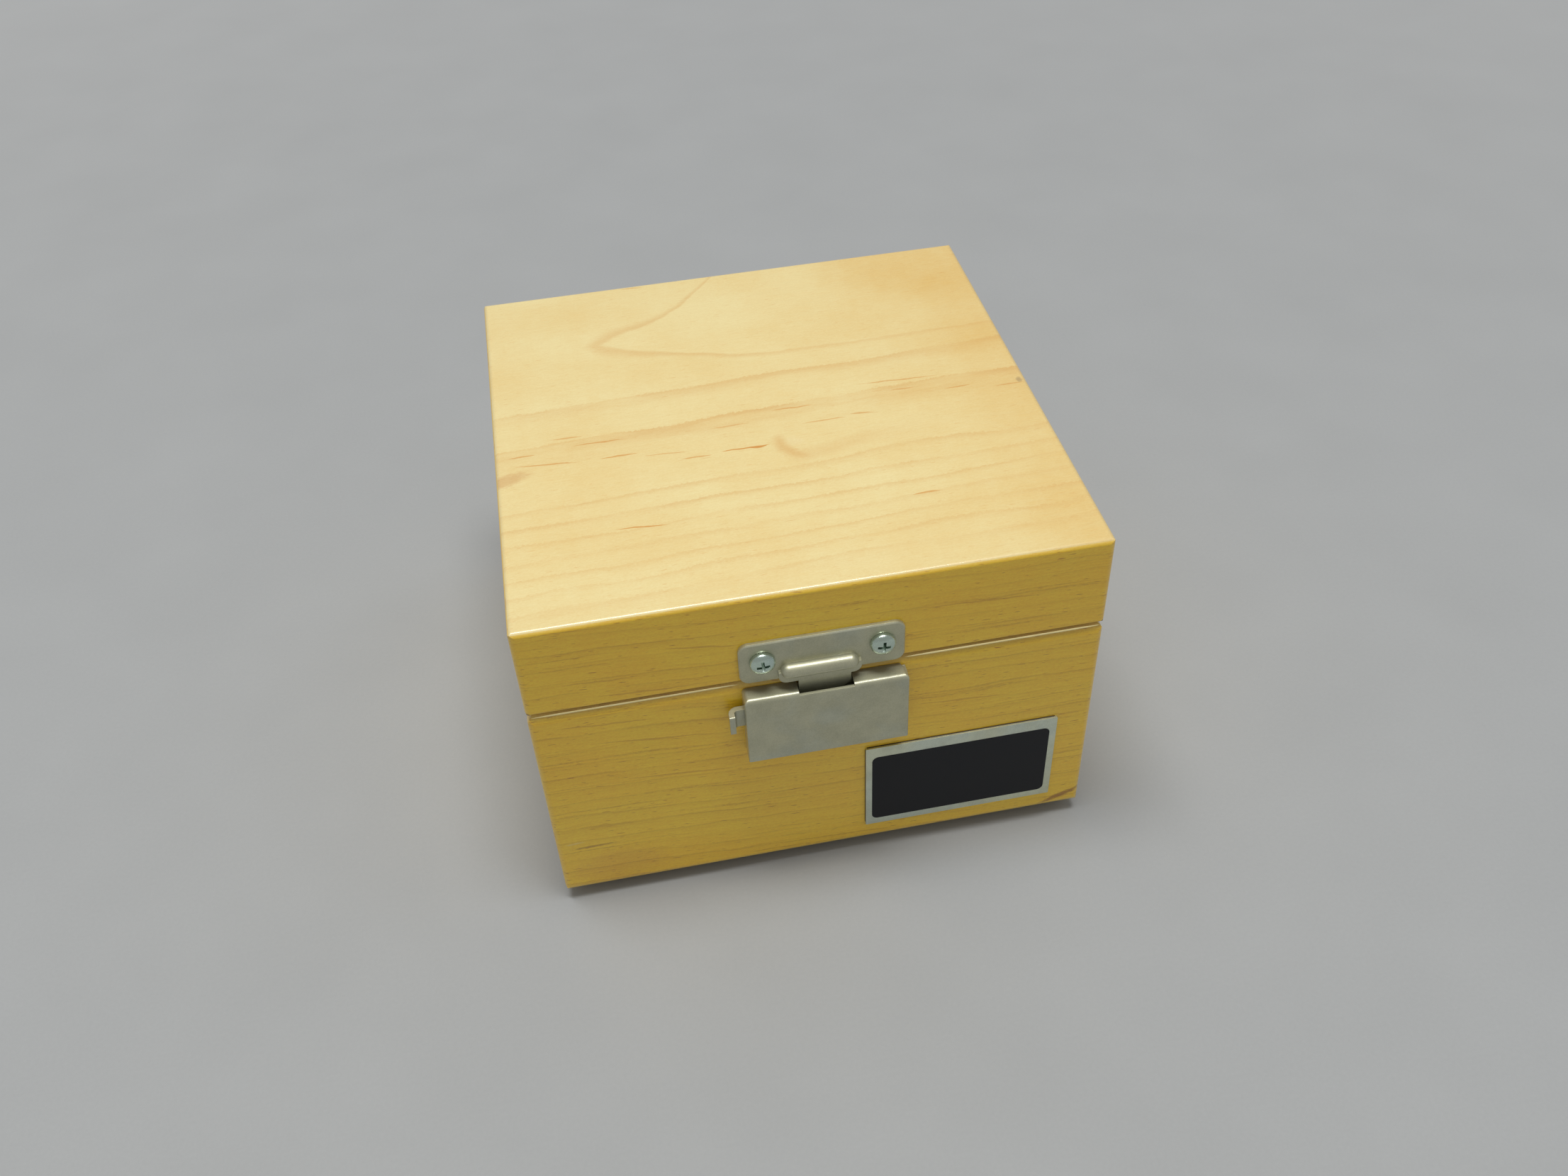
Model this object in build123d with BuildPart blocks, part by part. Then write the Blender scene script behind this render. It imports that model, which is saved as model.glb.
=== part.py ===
"""Small wooden instrument case: mitred maple box, hinged lid, side-slide catch at the front.

X runs along the front from left to right, Y from the front to the back, Z up.
The origin is on the surface that the case stands on, under the middle of the whole case,
with the catch and the hinges counted in.
Every size is in millimetres. Heights named z_ are above that surface.
"""

import os
from math import sqrt

from build123d import *

os.makedirs("parts", exist_ok=True)

# The wooden box
case_width = 152.4
case_depth = 153.6
wood_height = 103.1
parting_height = 74.5
parting_gap = 0.6
wall = 9.5
upright_ease = 1.7
top_ease = 1.4
base_rim_ease = 0.4
lid_rim_ease = 0.65
bottom_ease = 0.9
bottom_corner_ease = 3.4
bottom_thickness = 6.4
bottom_rabbet = 5.0

# What sticks out of the box
foot_height = 3.1
latch_depth = 5.2
pivot_out = 2.6
stop_radius = 3.6
hinge_reach = pivot_out + stop_radius

# The box's planes in the case's own frame
y_front = latch_depth - (case_depth + latch_depth + hinge_reach) / 2
y_back = y_front + case_depth
y_middle = (y_front + y_back) / 2
z_wood = foot_height
z_parting = z_wood + parting_height
z_base_rim = z_parting - parting_gap / 2
z_lid_rim = z_parting + parting_gap / 2
z_top = z_wood + wood_height
z_floor = z_wood + bottom_thickness
z_ceiling = z_top - wall

# Soft lining
lining_gap = 0.3
insert_below_rim = 3.8
pocket_width = 92.0
pocket_depth = 64.0
pocket_drop = 46.0
pocket_corner = 9.0
scoop_radius = 11.0
scoop_drop = 27.0
pad_above_rim = 3.0
foam_edge = 1.2

# Feet
foot_radius = 6.35
foot_sole_radius = 5.6
foot_inset_x = 14.2
foot_inset_y = 14.2
foot_bore = 1.9
foot_counterbore = 3.4
foot_counterbore_depth = 1.9

# Screws: head radius, head height, shank radius, length under the head's seat
pan_head = (3.35, 2.3, 1.7, 8.6)
foot_head = (2.9, 1.5, 1.6, 6.6)
flat_head_radius = 2.6
flat_shank_radius = 1.3
hinge_screw_length = 8.5
plate_screw_length = 8.0
screw_tip = 2.2
screw_room = 0.05
recess_arm = 0.85
recess_depth = 1.2

# The keeper on the lid
keeper_width = 43.2
keeper_height = 13.5
keeper_corner = 2.7
keeper_sheet = 1.2
keeper_edge = 0.35
z_keeper_low = z_wood + 74.55
z_keeper_screws = z_wood + 82.0
keeper_screw_x = 15.6
land_back = 1.35
land_front = land_back + keeper_sheet
land_x = -0.9
land_width = 21.6
land_corner = 2.1
land_drop = 0.2
z_bead = z_wood + 77.95
bead_out = 1.9
bead_radius = 2.1
bead_half_length = 10.2
bead_hollow = 0.8

# The keeper's tongue, with the notch that the bolt's nose catches
tongue_left = -6.7
tongue_right = 7.1
notch_left = 4.6
tongue_chamfer = 2.2
z_tongue_tip = z_wood + 63.0
z_barb = z_wood + 65.8
z_notch_top = z_wood + 71.6

# The catch's cover and base plate
cover_left = -21.3
cover_right = 22.0
z_cover_low = z_wood + 49.1
z_cover_high = z_wood + 72.1
cover_sheet = 0.9
cover_bend = 1.25
cover_side_ease = 0.5
cover_slant = 1.5
cover_notch_left = -7.0
cover_notch_right = 7.5
z_cover_notch = z_wood + 71.45
plate_sheet = 1.0
plate_screw_x = 15.2
z_plate_screws = z_wood + 66.8

# The sliding bolt, and the ear that a thumb pushes
bolt_travel = 2.4
bolt_back = 1.3
bolt_sheet = 1.5
ear_left = -25.5
z_ear_low = z_wood + 61.2
z_ear_high = z_wood + 67.2
ear_bend_outer = 2.4
ear_bend_inner = 0.9
ear_tip_ease = 0.4
bolt_left = -19.9
bolt_right = 17.4
z_bolt_low = z_wood + 56.8
z_bolt_bridge = z_wood + 62.2
z_bolt_high = z_wood + 68.8
arm_inner_left = -9.7
arm_inner_right = 8.9
nose_left = 5.0
z_nose_low = z_wood + 66.2
nose_chamfer = 1.2

# The bolt's two guide rivets and its return spring
guides = ((-13.0, z_wood + 63.4), (14.2, z_wood + 60.5))
guide_radius = 1.2
guide_head_radius = 2.0
guide_head_back = 3.0
guide_head = 0.6
slot_room = 0.1
slot_overrun = 0.2
spring_tab_left = 0.0
spring_tab_width = 1.4
z_spring_tab_low = z_wood + 52.0
z_spring = z_wood + 54.0
spring_lug_left = 14.0
spring_lug_width = 1.2
spring_lug_high = 3.0
spring_out = 2.6
spring_wire = 0.45
spring_wire_sides = 8
spring_radius = 1.22
spring_turns = 7

# The nameplate, with nothing on it
name_width = 54.8
name_height = 32.6
name_sheet = 0.8
name_x = 38.8
z_name = z_wood + 24.5
name_corner = 0.3

# The two butt hinges
hinge_x = 44.0
hinge_width = 38.0
leaf_height = 15.0
leaf_sheet = 1.2
leaf_corner = 2.2
leaf_clear = 2.9
knuckle_radius = 2.3
knuckle_gap = 0.2
knuckles = 5
pin_radius = 1.1
pin_room = 0.05
pin_head_radius = 1.8
pin_head = 0.7
stop_sheet = 1.2
hinge_screw_pitch = 13.0
hinge_screw_drop = 9.2


def front_plane(out):
    """A plane that faces the front, a distance out from the wood. Its axes are X and Z."""
    return Plane.XZ.offset(out - y_front)


def back_plane(out):
    """A plane that faces the back, a distance out from the wood. Its axes are -X and Z."""
    return Plane(origin=(0, y_back + out, 0), x_dir=(-1, 0, 0), z_dir=(0, 1, 0))


def write(builder, name):
    """Labels a finished piece and writes it to its own file."""
    builder.part.label = name
    export_step(builder.part, f"parts/{name}.step")


# Blanks that several pieces are cut from

sides = ("front", "right", "back", "left")
half_width = case_width / 2
outer_corners = (
    (-half_width, y_front),
    (half_width, y_front),
    (half_width, y_back),
    (-half_width, y_back),
)
inner_corners = (
    (-half_width + wall, y_front + wall),
    (half_width - wall, y_front + wall),
    (half_width - wall, y_back - wall),
    (-half_width + wall, y_back - wall),
)


def sanded_box(low, high, high_ease, low_ease, corner_ease=0.0):
    """The outside of the glued box from low to high, with its edges sanded round.

    A corner ease also sands the four lower corners, as seen from the front and from the side.
    """
    with BuildPart() as box:
        with BuildSketch(Plane.XY.offset(low)):
            with Locations((0, y_middle)):
                Rectangle(case_width, case_depth)
        extrude(amount=high - low)
        fillet(box.edges().group_by(Axis.Z)[0], low_ease)
        fillet(box.edges().group_by(Axis.Z)[-1], high_ease)
        with BuildSketch(Plane.XY.offset(low)):
            with Locations((0, y_middle)):
                RectangleRounded(case_width, case_depth, upright_ease)
        extrude(amount=high - low, mode=Mode.INTERSECT)
        if corner_ease:
            for plane, middle, width in (
                (Plane.XZ, 0, case_width),
                (Plane.YZ, y_middle, case_depth),
            ):
                with BuildSketch(plane) as outline:
                    with Locations((middle, (low + high) / 2)):
                        Rectangle(width, high - low)
                    fillet(outline.vertices().group_by(Axis.Z)[0], corner_ease)
                extrude(amount=case_depth, both=True, mode=Mode.INTERSECT)
    return box.part


def mitred_wall(side, low, high):
    """A wall as it is before its other cuts, with a 45 degree mitre at each end."""
    here = sides.index(side)
    there = (here + 1) % len(sides)
    with BuildPart() as blank:
        with BuildSketch(Plane.XY.offset(low)):
            with BuildLine():
                Polyline(
                    outer_corners[here],
                    outer_corners[there],
                    inner_corners[there],
                    inner_corners[here],
                    close=True,
                )
            make_face()
        extrude(amount=high - low)
    return blank.part


def screw(head_radius, head_height, shank_radius, length, room=0.0, recess=True):
    """A pointed wood screw that stands head up, with the head's seat at zero.

    A head height of zero gives a flat head, whose top is at zero.
    """
    radius = head_radius + room
    shank = shank_radius + room
    tip = -length - room
    with BuildPart() as fastener:
        with BuildSketch(Plane.XZ):
            with BuildLine():
                if head_height:
                    top = (0, head_height)
                    rim = (radius, 0.35 * head_height)
                    ThreePointArc(top, (0.62 * radius, 0.87 * head_height), rim)
                    Polyline(rim, (radius, 0), (shank, 0))
                    neck = (shank, 0)
                else:
                    top = (0, 0)
                    neck = (shank, shank - radius)
                    Polyline(top, (radius, 0), neck)
                Polyline(neck, (shank, tip + screw_tip), (0, tip), top)
            make_face()
        revolve(axis=Axis.Z)
        if recess:
            with Locations((0, 0, head_height)):
                for turn in (0, 90):
                    Box(
                        1.15 * radius,
                        recess_arm,
                        2 * recess_depth,
                        rotation=(0, 0, turn),
                        mode=Mode.SUBTRACT,
                    )
    return fastener.part


def flat_screw(length, room=0.0, recess=True):
    """A countersunk wood screw, with its top at zero."""
    return screw(flat_head_radius, 0, flat_shank_radius, length, room, recess)


base_box = sanded_box(z_wood, z_base_rim, base_rim_ease, bottom_ease, bottom_corner_ease)
lid_box = sanded_box(z_lid_rim, z_top, top_ease, lid_rim_ease)
base_walls = {side: mitred_wall(side, z_wood, z_base_rim) for side in sides}
lid_walls = {side: mitred_wall(side, z_lid_rim, z_top) for side in sides}

with BuildPart() as bottom_blank:
    with BuildSketch(Plane.XY.offset(z_wood)):
        with Locations((0, y_middle)):
            Rectangle(
                case_width - 2 * (wall - bottom_rabbet),
                case_depth - 2 * (wall - bottom_rabbet),
            )
    extrude(amount=bottom_thickness)

with BuildPart() as top_blank:
    with BuildSketch(Plane.XY.offset(z_ceiling)):
        with Locations((0, y_middle)):
            Rectangle(case_width - 2 * wall, case_depth - 2 * wall)
    extrude(amount=wall, taper=-45)

# Where the screws go. Each place turns a screw so that its head faces out of the wood.
keeper_screw_places = [
    Location((x, y_front - keeper_sheet, z_keeper_screws), (90, 0, 0))
    for x in (-keeper_screw_x, keeper_screw_x)
]
plate_screw_places = [
    Location((x, y_front - plate_sheet, z_plate_screws), (90, 0, 0))
    for x in (-plate_screw_x, plate_screw_x)
]


def hinge_screw_places(z):
    """The six screws of one row, three through each hinge."""
    return [
        Location((centre + step * hinge_screw_pitch, y_back + leaf_sheet, z), (-90, 0, 0))
        for centre in (-hinge_x, hinge_x)
        for step in (-1, 0, 1)
    ]


z_base_screws = z_parting - hinge_screw_drop
z_lid_screws = z_parting + hinge_screw_drop
foot_x = half_width - foot_inset_x
foot_y = case_depth / 2 - foot_inset_y
foot_spots = {
    "front_left": (-foot_x, y_middle - foot_y),
    "front_right": (foot_x, y_middle - foot_y),
    "back_right": (foot_x, y_middle + foot_y),
    "back_left": (-foot_x, y_middle + foot_y),
}
foot_screw_places = [
    Location((x, y, foot_counterbore_depth), (180, 0, 0)) for x, y in foot_spots.values()
]

# The holes that each wall is drilled with, as the screws that fill them
keeper_hole = screw(*pan_head, room=screw_room, recess=False)
plate_hole = flat_screw(plate_screw_length, room=screw_room, recess=False)
hinge_hole = flat_screw(hinge_screw_length, room=screw_room, recess=False)
foot_hole = screw(*foot_head, room=screw_room, recess=False)

# The base: four mitred walls with a bottom let into a rabbet
base_drilling = {
    "front": (plate_hole, plate_screw_places),
    "back": (hinge_hole, hinge_screw_places(z_base_screws)),
}
for side in sides:
    with BuildPart() as base_wall:
        add(base_walls[side])
        add(bottom_blank.part, mode=Mode.SUBTRACT)
        add(base_box, mode=Mode.INTERSECT)
        if side in base_drilling:
            hole, places = base_drilling[side]
            with Locations(*places):
                add(hole, mode=Mode.SUBTRACT)
    write(base_wall, f"base_{side}_panel")

with BuildPart() as base_bottom_panel:
    add(bottom_blank.part)
    with Locations(*foot_screw_places):
        add(foot_hole, mode=Mode.SUBTRACT)
write(base_bottom_panel, "base_bottom_panel")

# The lid: four mitred walls, with the top mitred to them all round
lid_drilling = {
    "front": (keeper_hole, keeper_screw_places),
    "back": (hinge_hole, hinge_screw_places(z_lid_screws)),
}
for side in sides:
    with BuildPart() as lid_wall:
        add(lid_walls[side])
        add(top_blank.part, mode=Mode.SUBTRACT)
        add(lid_box, mode=Mode.INTERSECT)
        if side in lid_drilling:
            hole, places = lid_drilling[side]
            with Locations(*places):
                add(hole, mode=Mode.SUBTRACT)
    write(lid_wall, f"lid_{side}_panel")

with BuildPart() as lid_top_panel:
    add(top_blank.part)
    add(lid_box, mode=Mode.INTERSECT)
write(lid_top_panel, "lid_top_panel")

# The soft lining: a block with a pocket in the base, and a pad in the lid
lining_width = case_width - 2 * (wall + lining_gap)
lining_depth = case_depth - 2 * (wall + lining_gap)
z_insert_top = z_base_rim - insert_below_rim

with BuildPart() as base_foam_insert:
    with BuildSketch(Plane.XY.offset(z_floor)):
        with Locations((0, y_middle)):
            Rectangle(lining_width, lining_depth)
    extrude(amount=z_insert_top - z_floor)
    with BuildSketch(Plane.XY.offset(z_insert_top)):
        with Locations((0, y_middle)):
            RectangleRounded(pocket_width, pocket_depth, pocket_corner)
    extrude(amount=-pocket_drop, mode=Mode.SUBTRACT)
    with BuildSketch(Plane.XY.offset(z_insert_top)):
        with Locations(
            (0, y_middle - pocket_depth / 2), (0, y_middle + pocket_depth / 2)
        ):
            Circle(scoop_radius)
    extrude(amount=-scoop_drop, mode=Mode.SUBTRACT)
    chamfer(base_foam_insert.edges().group_by(Axis.Z)[-1], foam_edge)
write(base_foam_insert, "base_foam_insert")

with BuildPart() as lid_foam_pad:
    with BuildSketch(Plane.XY.offset(z_lid_rim + pad_above_rim)):
        with Locations((0, y_middle)):
            Rectangle(lining_width, lining_depth)
    extrude(amount=z_ceiling - z_lid_rim - pad_above_rim)
    chamfer(lid_foam_pad.edges().group_by(Axis.Z)[0], foam_edge)
write(lid_foam_pad, "lid_foam_pad")

# Four rubber feet, each held by a screw whose head is sunk in the rubber
for corner, (x, y) in foot_spots.items():
    with BuildPart() as foot:
        with BuildSketch():
            with Locations((x, y)):
                Circle(foot_sole_radius)
        with BuildSketch(Plane.XY.offset(foot_height)):
            with Locations((x, y)):
                Circle(foot_radius)
        loft()
        with Locations(Location((x, y, 0), (180, 0, 0))):
            CounterBoreHole(
                foot_bore, foot_counterbore, foot_counterbore_depth, foot_height
            )
    write(foot, f"foot_{corner}")

foot_screw = screw(*foot_head)
with BuildPart() as foot_screws:
    with Locations(*foot_screw_places):
        add(foot_screw)
write(foot_screws, "foot_screws")

# The keeper: a plate with its middle pressed forward, a stiffening bead and a tongue
z_land_low = z_keeper_low - land_drop

with BuildPart() as keeper_plate:
    with BuildSketch(front_plane(0)):
        with Locations((0, z_keeper_low + keeper_height / 2)):
            RectangleRounded(keeper_width, keeper_height, keeper_corner)
    extrude(amount=keeper_sheet)
    chamfer(keeper_plate.faces().sort_by(Axis.Y)[0].edges(), keeper_edge)
    with BuildSketch(front_plane(0)) as land:
        with Locations((land_x, (z_land_low + z_bead) / 2)):
            Rectangle(land_width, z_bead - z_land_low)
        fillet(land.vertices().group_by(Axis.Y)[0], land_corner)
    extrude(amount=land_front)
    with Locations((land_x, y_front - bead_out, z_bead)):
        Cylinder(bead_radius, 2 * (bead_half_length - bead_radius), rotation=(0, 90, 0))
    with Locations(
        (land_x - bead_half_length + bead_radius, y_front - bead_out, z_bead),
        (land_x + bead_half_length - bead_radius, y_front - bead_out, z_bead),
    ):
        Sphere(bead_radius)
    with BuildSketch(front_plane(-bead_radius)):
        with Locations((0, z_bead)):
            Rectangle(keeper_width, 4 * bead_radius)
    extrude(amount=bead_radius, mode=Mode.SUBTRACT)
    with BuildSketch(front_plane(0)):
        with Locations((land_x, z_bead - wall / 2)):
            Rectangle(land_width - 2 * keeper_sheet, wall)
    extrude(amount=land_back, mode=Mode.SUBTRACT)
    with BuildSketch(front_plane(0)):
        with Locations((land_x, z_bead)):
            SlotOverall(2 * bead_half_length - 2 * keeper_sheet, 2 * bead_hollow)
    extrude(amount=bead_out + bead_hollow, mode=Mode.SUBTRACT)
    with BuildSketch(front_plane(land_back)):
        with BuildLine():
            Polyline(
                (tongue_left, z_bead),
                (tongue_left, z_tongue_tip),
                (tongue_right - tongue_chamfer, z_tongue_tip),
                (tongue_right, z_tongue_tip + tongue_chamfer),
                (tongue_right, z_barb),
                (notch_left, z_barb),
                (notch_left, z_notch_top - (tongue_right - notch_left)),
                (tongue_right, z_notch_top),
                (tongue_right, z_bead),
                close=True,
            )
        make_face()
    extrude(amount=keeper_sheet)
    with Locations(*keeper_screw_places):
        CounterSinkHole(pan_head[2] + 0.2, pan_head[2] + 0.5, keeper_sheet)
write(keeper_plate, "keeper_plate")

keeper_screw = screw(*pan_head)
with BuildPart() as keeper_screws:
    with Locations(*keeper_screw_places):
        add(keeper_screw)
write(keeper_screws, "keeper_screws")

# The catch's cover: a folded box, notched for the tongue and slotted for the ear
cover_x = (cover_left + cover_right) / 2
z_cover_middle = (z_cover_low + z_cover_high) / 2
cover_width = cover_right - cover_left
cover_height = z_cover_high - z_cover_low
cover_notch_x = (cover_notch_left + cover_notch_right) / 2
cover_notch_width = cover_notch_right - cover_notch_left

with BuildPart() as latch_cover:
    with BuildSketch(front_plane(0)):
        with Locations((cover_x, z_cover_middle)):
            Rectangle(cover_width, cover_height)
    extrude(amount=latch_depth)
    fillet(latch_cover.edges().filter_by(Axis.Z).group_by(Axis.Y)[0], cover_side_ease)
    fillet(
        latch_cover.edges().filter_by(Axis.X).group_by(Axis.Y)[0].sort_by(Axis.Z)[-1],
        cover_bend,
    )
    with BuildSketch(front_plane(0)):
        with Locations((cover_x, z_cover_middle)):
            Rectangle(cover_width - 2 * cover_sheet, cover_height - 2 * cover_sheet)
    extrude(amount=latch_depth - cover_sheet, mode=Mode.SUBTRACT)
    with BuildSketch(front_plane(0)):
        with Locations((cover_notch_x, z_cover_notch + cover_bend)):
            Rectangle(cover_notch_width, 2 * cover_bend)
    extrude(amount=latch_depth, mode=Mode.SUBTRACT)
    with BuildSketch(front_plane(0)):
        with Locations((cover_notch_x, z_cover_high)):
            Rectangle(cover_notch_width, 2 * cover_sheet)
    extrude(amount=latch_depth - cover_sheet, mode=Mode.SUBTRACT)
    with BuildSketch(Plane.XY.offset(z_cover_high)):
        with BuildLine():
            Polyline(
                (cover_right, y_front),
                (cover_right - cover_slant, y_front),
                (cover_right, y_front - latch_depth + cover_bend),
                close=True,
            )
        make_face()
    extrude(amount=-cover_sheet, mode=Mode.SUBTRACT)
    with BuildSketch(front_plane(plate_sheet)):
        with Locations((cover_left, (z_ear_low + z_ear_high) / 2)):
            Rectangle(4 * cover_sheet, z_ear_high - z_ear_low + 0.8)
    extrude(amount=bolt_sheet + 0.7, mode=Mode.SUBTRACT)
write(latch_cover, "latch_cover")

# The plate behind the bolt, with a lug that holds the spring's fixed end
with BuildPart() as latch_base_plate:
    with BuildSketch(front_plane(0)):
        with Locations((cover_x, z_cover_middle)):
            Rectangle(cover_width - 2 * cover_sheet, cover_height - 2 * cover_sheet)
        with Locations(*guides):
            Circle(guide_radius, mode=Mode.SUBTRACT)
    extrude(amount=plate_sheet)
    with BuildSketch(front_plane(plate_sheet)):
        with Locations((spring_lug_left + spring_lug_width / 2, z_spring)):
            Rectangle(spring_lug_width, spring_lug_high)
    extrude(amount=spring_lug_high)
    with Locations(*plate_screw_places):
        CounterSinkHole(
            flat_shank_radius + 0.2, flat_head_radius + screw_room, plate_sheet, 90
        )
write(latch_base_plate, "latch_base_plate")

plate_screw = flat_screw(plate_screw_length)
with BuildPart() as latch_plate_screws:
    with Locations(*plate_screw_places):
        add(plate_screw)
write(latch_plate_screws, "latch_plate_screws")

with BuildPart() as latch_guide_rivets:
    with BuildSketch(front_plane(0)):
        with Locations(*guides):
            Circle(guide_radius)
    extrude(amount=guide_head_back + guide_head)
    with BuildSketch(front_plane(guide_head_back)):
        with Locations(*guides):
            Circle(guide_head_radius)
    extrude(amount=guide_head)
write(latch_guide_rivets, "latch_guide_rivets")

# The bolt: it slides right against the spring, and its nose holds the tongue's notch
with BuildPart() as latch_bolt:
    with BuildSketch(front_plane(bolt_back)):
        with BuildLine():
            Polyline(
                (bolt_left, z_bolt_low),
                (spring_tab_left, z_bolt_low),
                (spring_tab_left, z_spring_tab_low),
                (spring_tab_left + spring_tab_width, z_spring_tab_low),
                (spring_tab_left + spring_tab_width, z_bolt_low),
                (bolt_right, z_bolt_low),
                (bolt_right, z_bolt_high),
                (nose_left + nose_chamfer, z_bolt_high),
                (nose_left, z_bolt_high - nose_chamfer),
                (nose_left, z_nose_low),
                (arm_inner_right, z_nose_low),
                (arm_inner_right, z_bolt_bridge),
                (arm_inner_left, z_bolt_bridge),
                (arm_inner_left, z_bolt_high),
                (bolt_left, z_bolt_high),
                (bolt_left, z_ear_high),
                (ear_left, z_ear_high),
                (ear_left, z_ear_low),
                (bolt_left, z_ear_low),
                close=True,
            )
        make_face()
        for x, z in guides:
            with Locations((x - bolt_travel / 2, z)):
                SlotCenterToCenter(
                    bolt_travel + slot_overrun,
                    2 * (guide_radius + slot_room),
                    mode=Mode.SUBTRACT,
                )
    extrude(amount=bolt_sheet)
    with BuildSketch(front_plane(bolt_back)):
        with Locations((ear_left + bolt_sheet / 2, (z_ear_low + z_ear_high) / 2)):
            Rectangle(bolt_sheet, z_ear_high - z_ear_low)
    extrude(amount=latch_depth - bolt_back)
    ear_uprights = latch_bolt.edges().filter_by(Axis.Z).group_by(Axis.X)
    fillet(ear_uprights[0].sort_by(Axis.Y)[-1], ear_bend_outer)
    fillet(ear_uprights[1].sort_by(Axis.Y)[-1], ear_bend_inner)
    ear_tip = latch_bolt.edges().filter_by(Axis.X).group_by(Axis.Y)[0]
    fillet(ear_tip.sort_by(Axis.Z)[-1], ear_tip_ease)
write(latch_bolt, "latch_bolt")

# The return spring, as half turns that are tangent where they meet
spring_start = spring_tab_left + spring_tab_width + spring_wire / 2
spring_step = (spring_lug_left - spring_wire / 2 - spring_start) / (2 * spring_turns)
half_turn_radius = sqrt(spring_radius**2 + (spring_step / 2) ** 2)
y_spring = y_front - spring_out


def spring_point(halves):
    """The point that the wire's middle has reached after so many half turns."""
    side = 1 if halves % 2 == 0 else -1
    return Vector(
        spring_start + halves * spring_step, y_spring, z_spring + side * spring_radius
    )


with BuildPart() as latch_spring:
    with BuildLine() as spring_line:
        for half in range(2 * spring_turns):
            start, end = spring_point(half), spring_point(half + 1)
            bulge = half_turn_radius if half % 2 == 0 else -half_turn_radius
            ThreePointArc(start, (start + end) / 2 + Vector(0, bulge, 0), end)
    with BuildSketch(Plane(origin=spring_point(0), z_dir=(0, 1, 0))):
        RegularPolygon(spring_wire / 2, spring_wire_sides)
    sweep(path=spring_line.wire())
write(latch_spring, "latch_spring")
spring_gap = 2 * spring_step - spring_wire
print(f"spring: {spring_turns} turns, least gap between turns {spring_gap:.2f} mm")

# The nameplate
with BuildPart() as nameplate:
    with BuildSketch(front_plane(0)):
        with Locations((name_x, z_name)):
            RectangleRounded(name_width, name_height, name_corner)
    extrude(amount=name_sheet)
write(nameplate, "nameplate")

# Two butt hinges. The base leaf holds the pin in the first, third and last knuckles.
# The lid leaf turns on the others, and a short stop on each meets the base leaf.
knuckle_pitch = hinge_width / knuckles
knuckle_length = knuckle_pitch - knuckle_gap
y_pivot = y_back + pivot_out
stop_inner = pin_radius + 0.5


def hinge_leaf(centre, down, turns_with):
    """One leaf with its knuckles.

    down is -1 for the base leaf, below the pivot, and 1 for the lid leaf, above it.
    turns_with lists the knuckles that belong to the leaf.
    """
    spots = [
        (centre + (number - (knuckles - 1) / 2) * knuckle_pitch, y_pivot, z_parting)
        for number in turns_with
    ]
    with BuildPart() as leaf:
        with BuildSketch(back_plane(0)) as plate:
            with Locations((-centre, z_parting + down * (leaf_height + leaf_clear) / 2)):
                Rectangle(hinge_width, leaf_height - leaf_clear)
            far = plate.vertices().group_by(Axis.Y)[0 if down < 0 else -1]
            fillet(far, leaf_corner)
        extrude(amount=leaf_sheet)
        with Locations(*spots):
            Cylinder(knuckle_radius, knuckle_length, rotation=(0, 90, 0))
        with BuildSketch(back_plane(0)):
            with Locations(*[(-x, z_parting + down * leaf_clear / 2) for x, y, z in spots]):
                Rectangle(knuckle_length, leaf_clear)
        extrude(amount=leaf_sheet)
        if down > 0:
            with Locations(*[(x, y + (stop_inner + stop_radius) / 2, z) for x, y, z in spots]):
                Box(knuckle_length, stop_radius - stop_inner, stop_sheet)
        with Locations(*spots):
            Cylinder(
                pin_radius + pin_room,
                2 * knuckle_length,
                rotation=(0, 90, 0),
                mode=Mode.SUBTRACT,
            )
        z_screws = z_base_screws if down < 0 else z_lid_screws
        places = [
            place
            for place in hinge_screw_places(z_screws)
            if abs(place.position.X - centre) < hinge_width / 2
        ]
        with Locations(*places):
            CounterSinkHole(
                flat_shank_radius + 0.2, flat_head_radius + screw_room, leaf_sheet, 90
            )
    return leaf


for name, centre in (("left", -hinge_x), ("right", hinge_x)):
    write(hinge_leaf(centre, -1, (0, 2, 4)), f"hinge_{name}_base_leaf")
    write(hinge_leaf(centre, 1, (1, 3)), f"hinge_{name}_lid_leaf")
    with BuildPart() as hinge_pin:
        with Locations((centre, y_pivot, z_parting)):
            Cylinder(pin_radius, hinge_width - knuckle_gap, rotation=(0, 90, 0))
        head_out = (hinge_width - knuckle_gap + pin_head) / 2
        with Locations(
            (centre - head_out, y_pivot, z_parting),
            (centre + head_out, y_pivot, z_parting),
        ):
            Cylinder(pin_head_radius, pin_head, rotation=(0, 90, 0))
    write(hinge_pin, f"hinge_{name}_pin")

hinge_screw = flat_screw(hinge_screw_length)
for name, z in (("base", z_base_screws), ("lid", z_lid_screws)):
    with BuildPart() as hinge_screws:
        with Locations(*hinge_screw_places(z)):
            add(hinge_screw)
    write(hinge_screws, f"hinge_{name}_screws")
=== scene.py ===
"""The looks of a small maple instrument case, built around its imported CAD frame.

Everything is in metres in the frame's own axes: X along the front, Y to the back, Z up.
Materials work in millimetres, from Object coordinates.
"""

from __future__ import annotations

import logging
import math
from dataclasses import dataclass, field
from enum import Enum

import bmesh
import bpy
from mathutils import Matrix, Quaternion, Vector, noise

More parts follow.
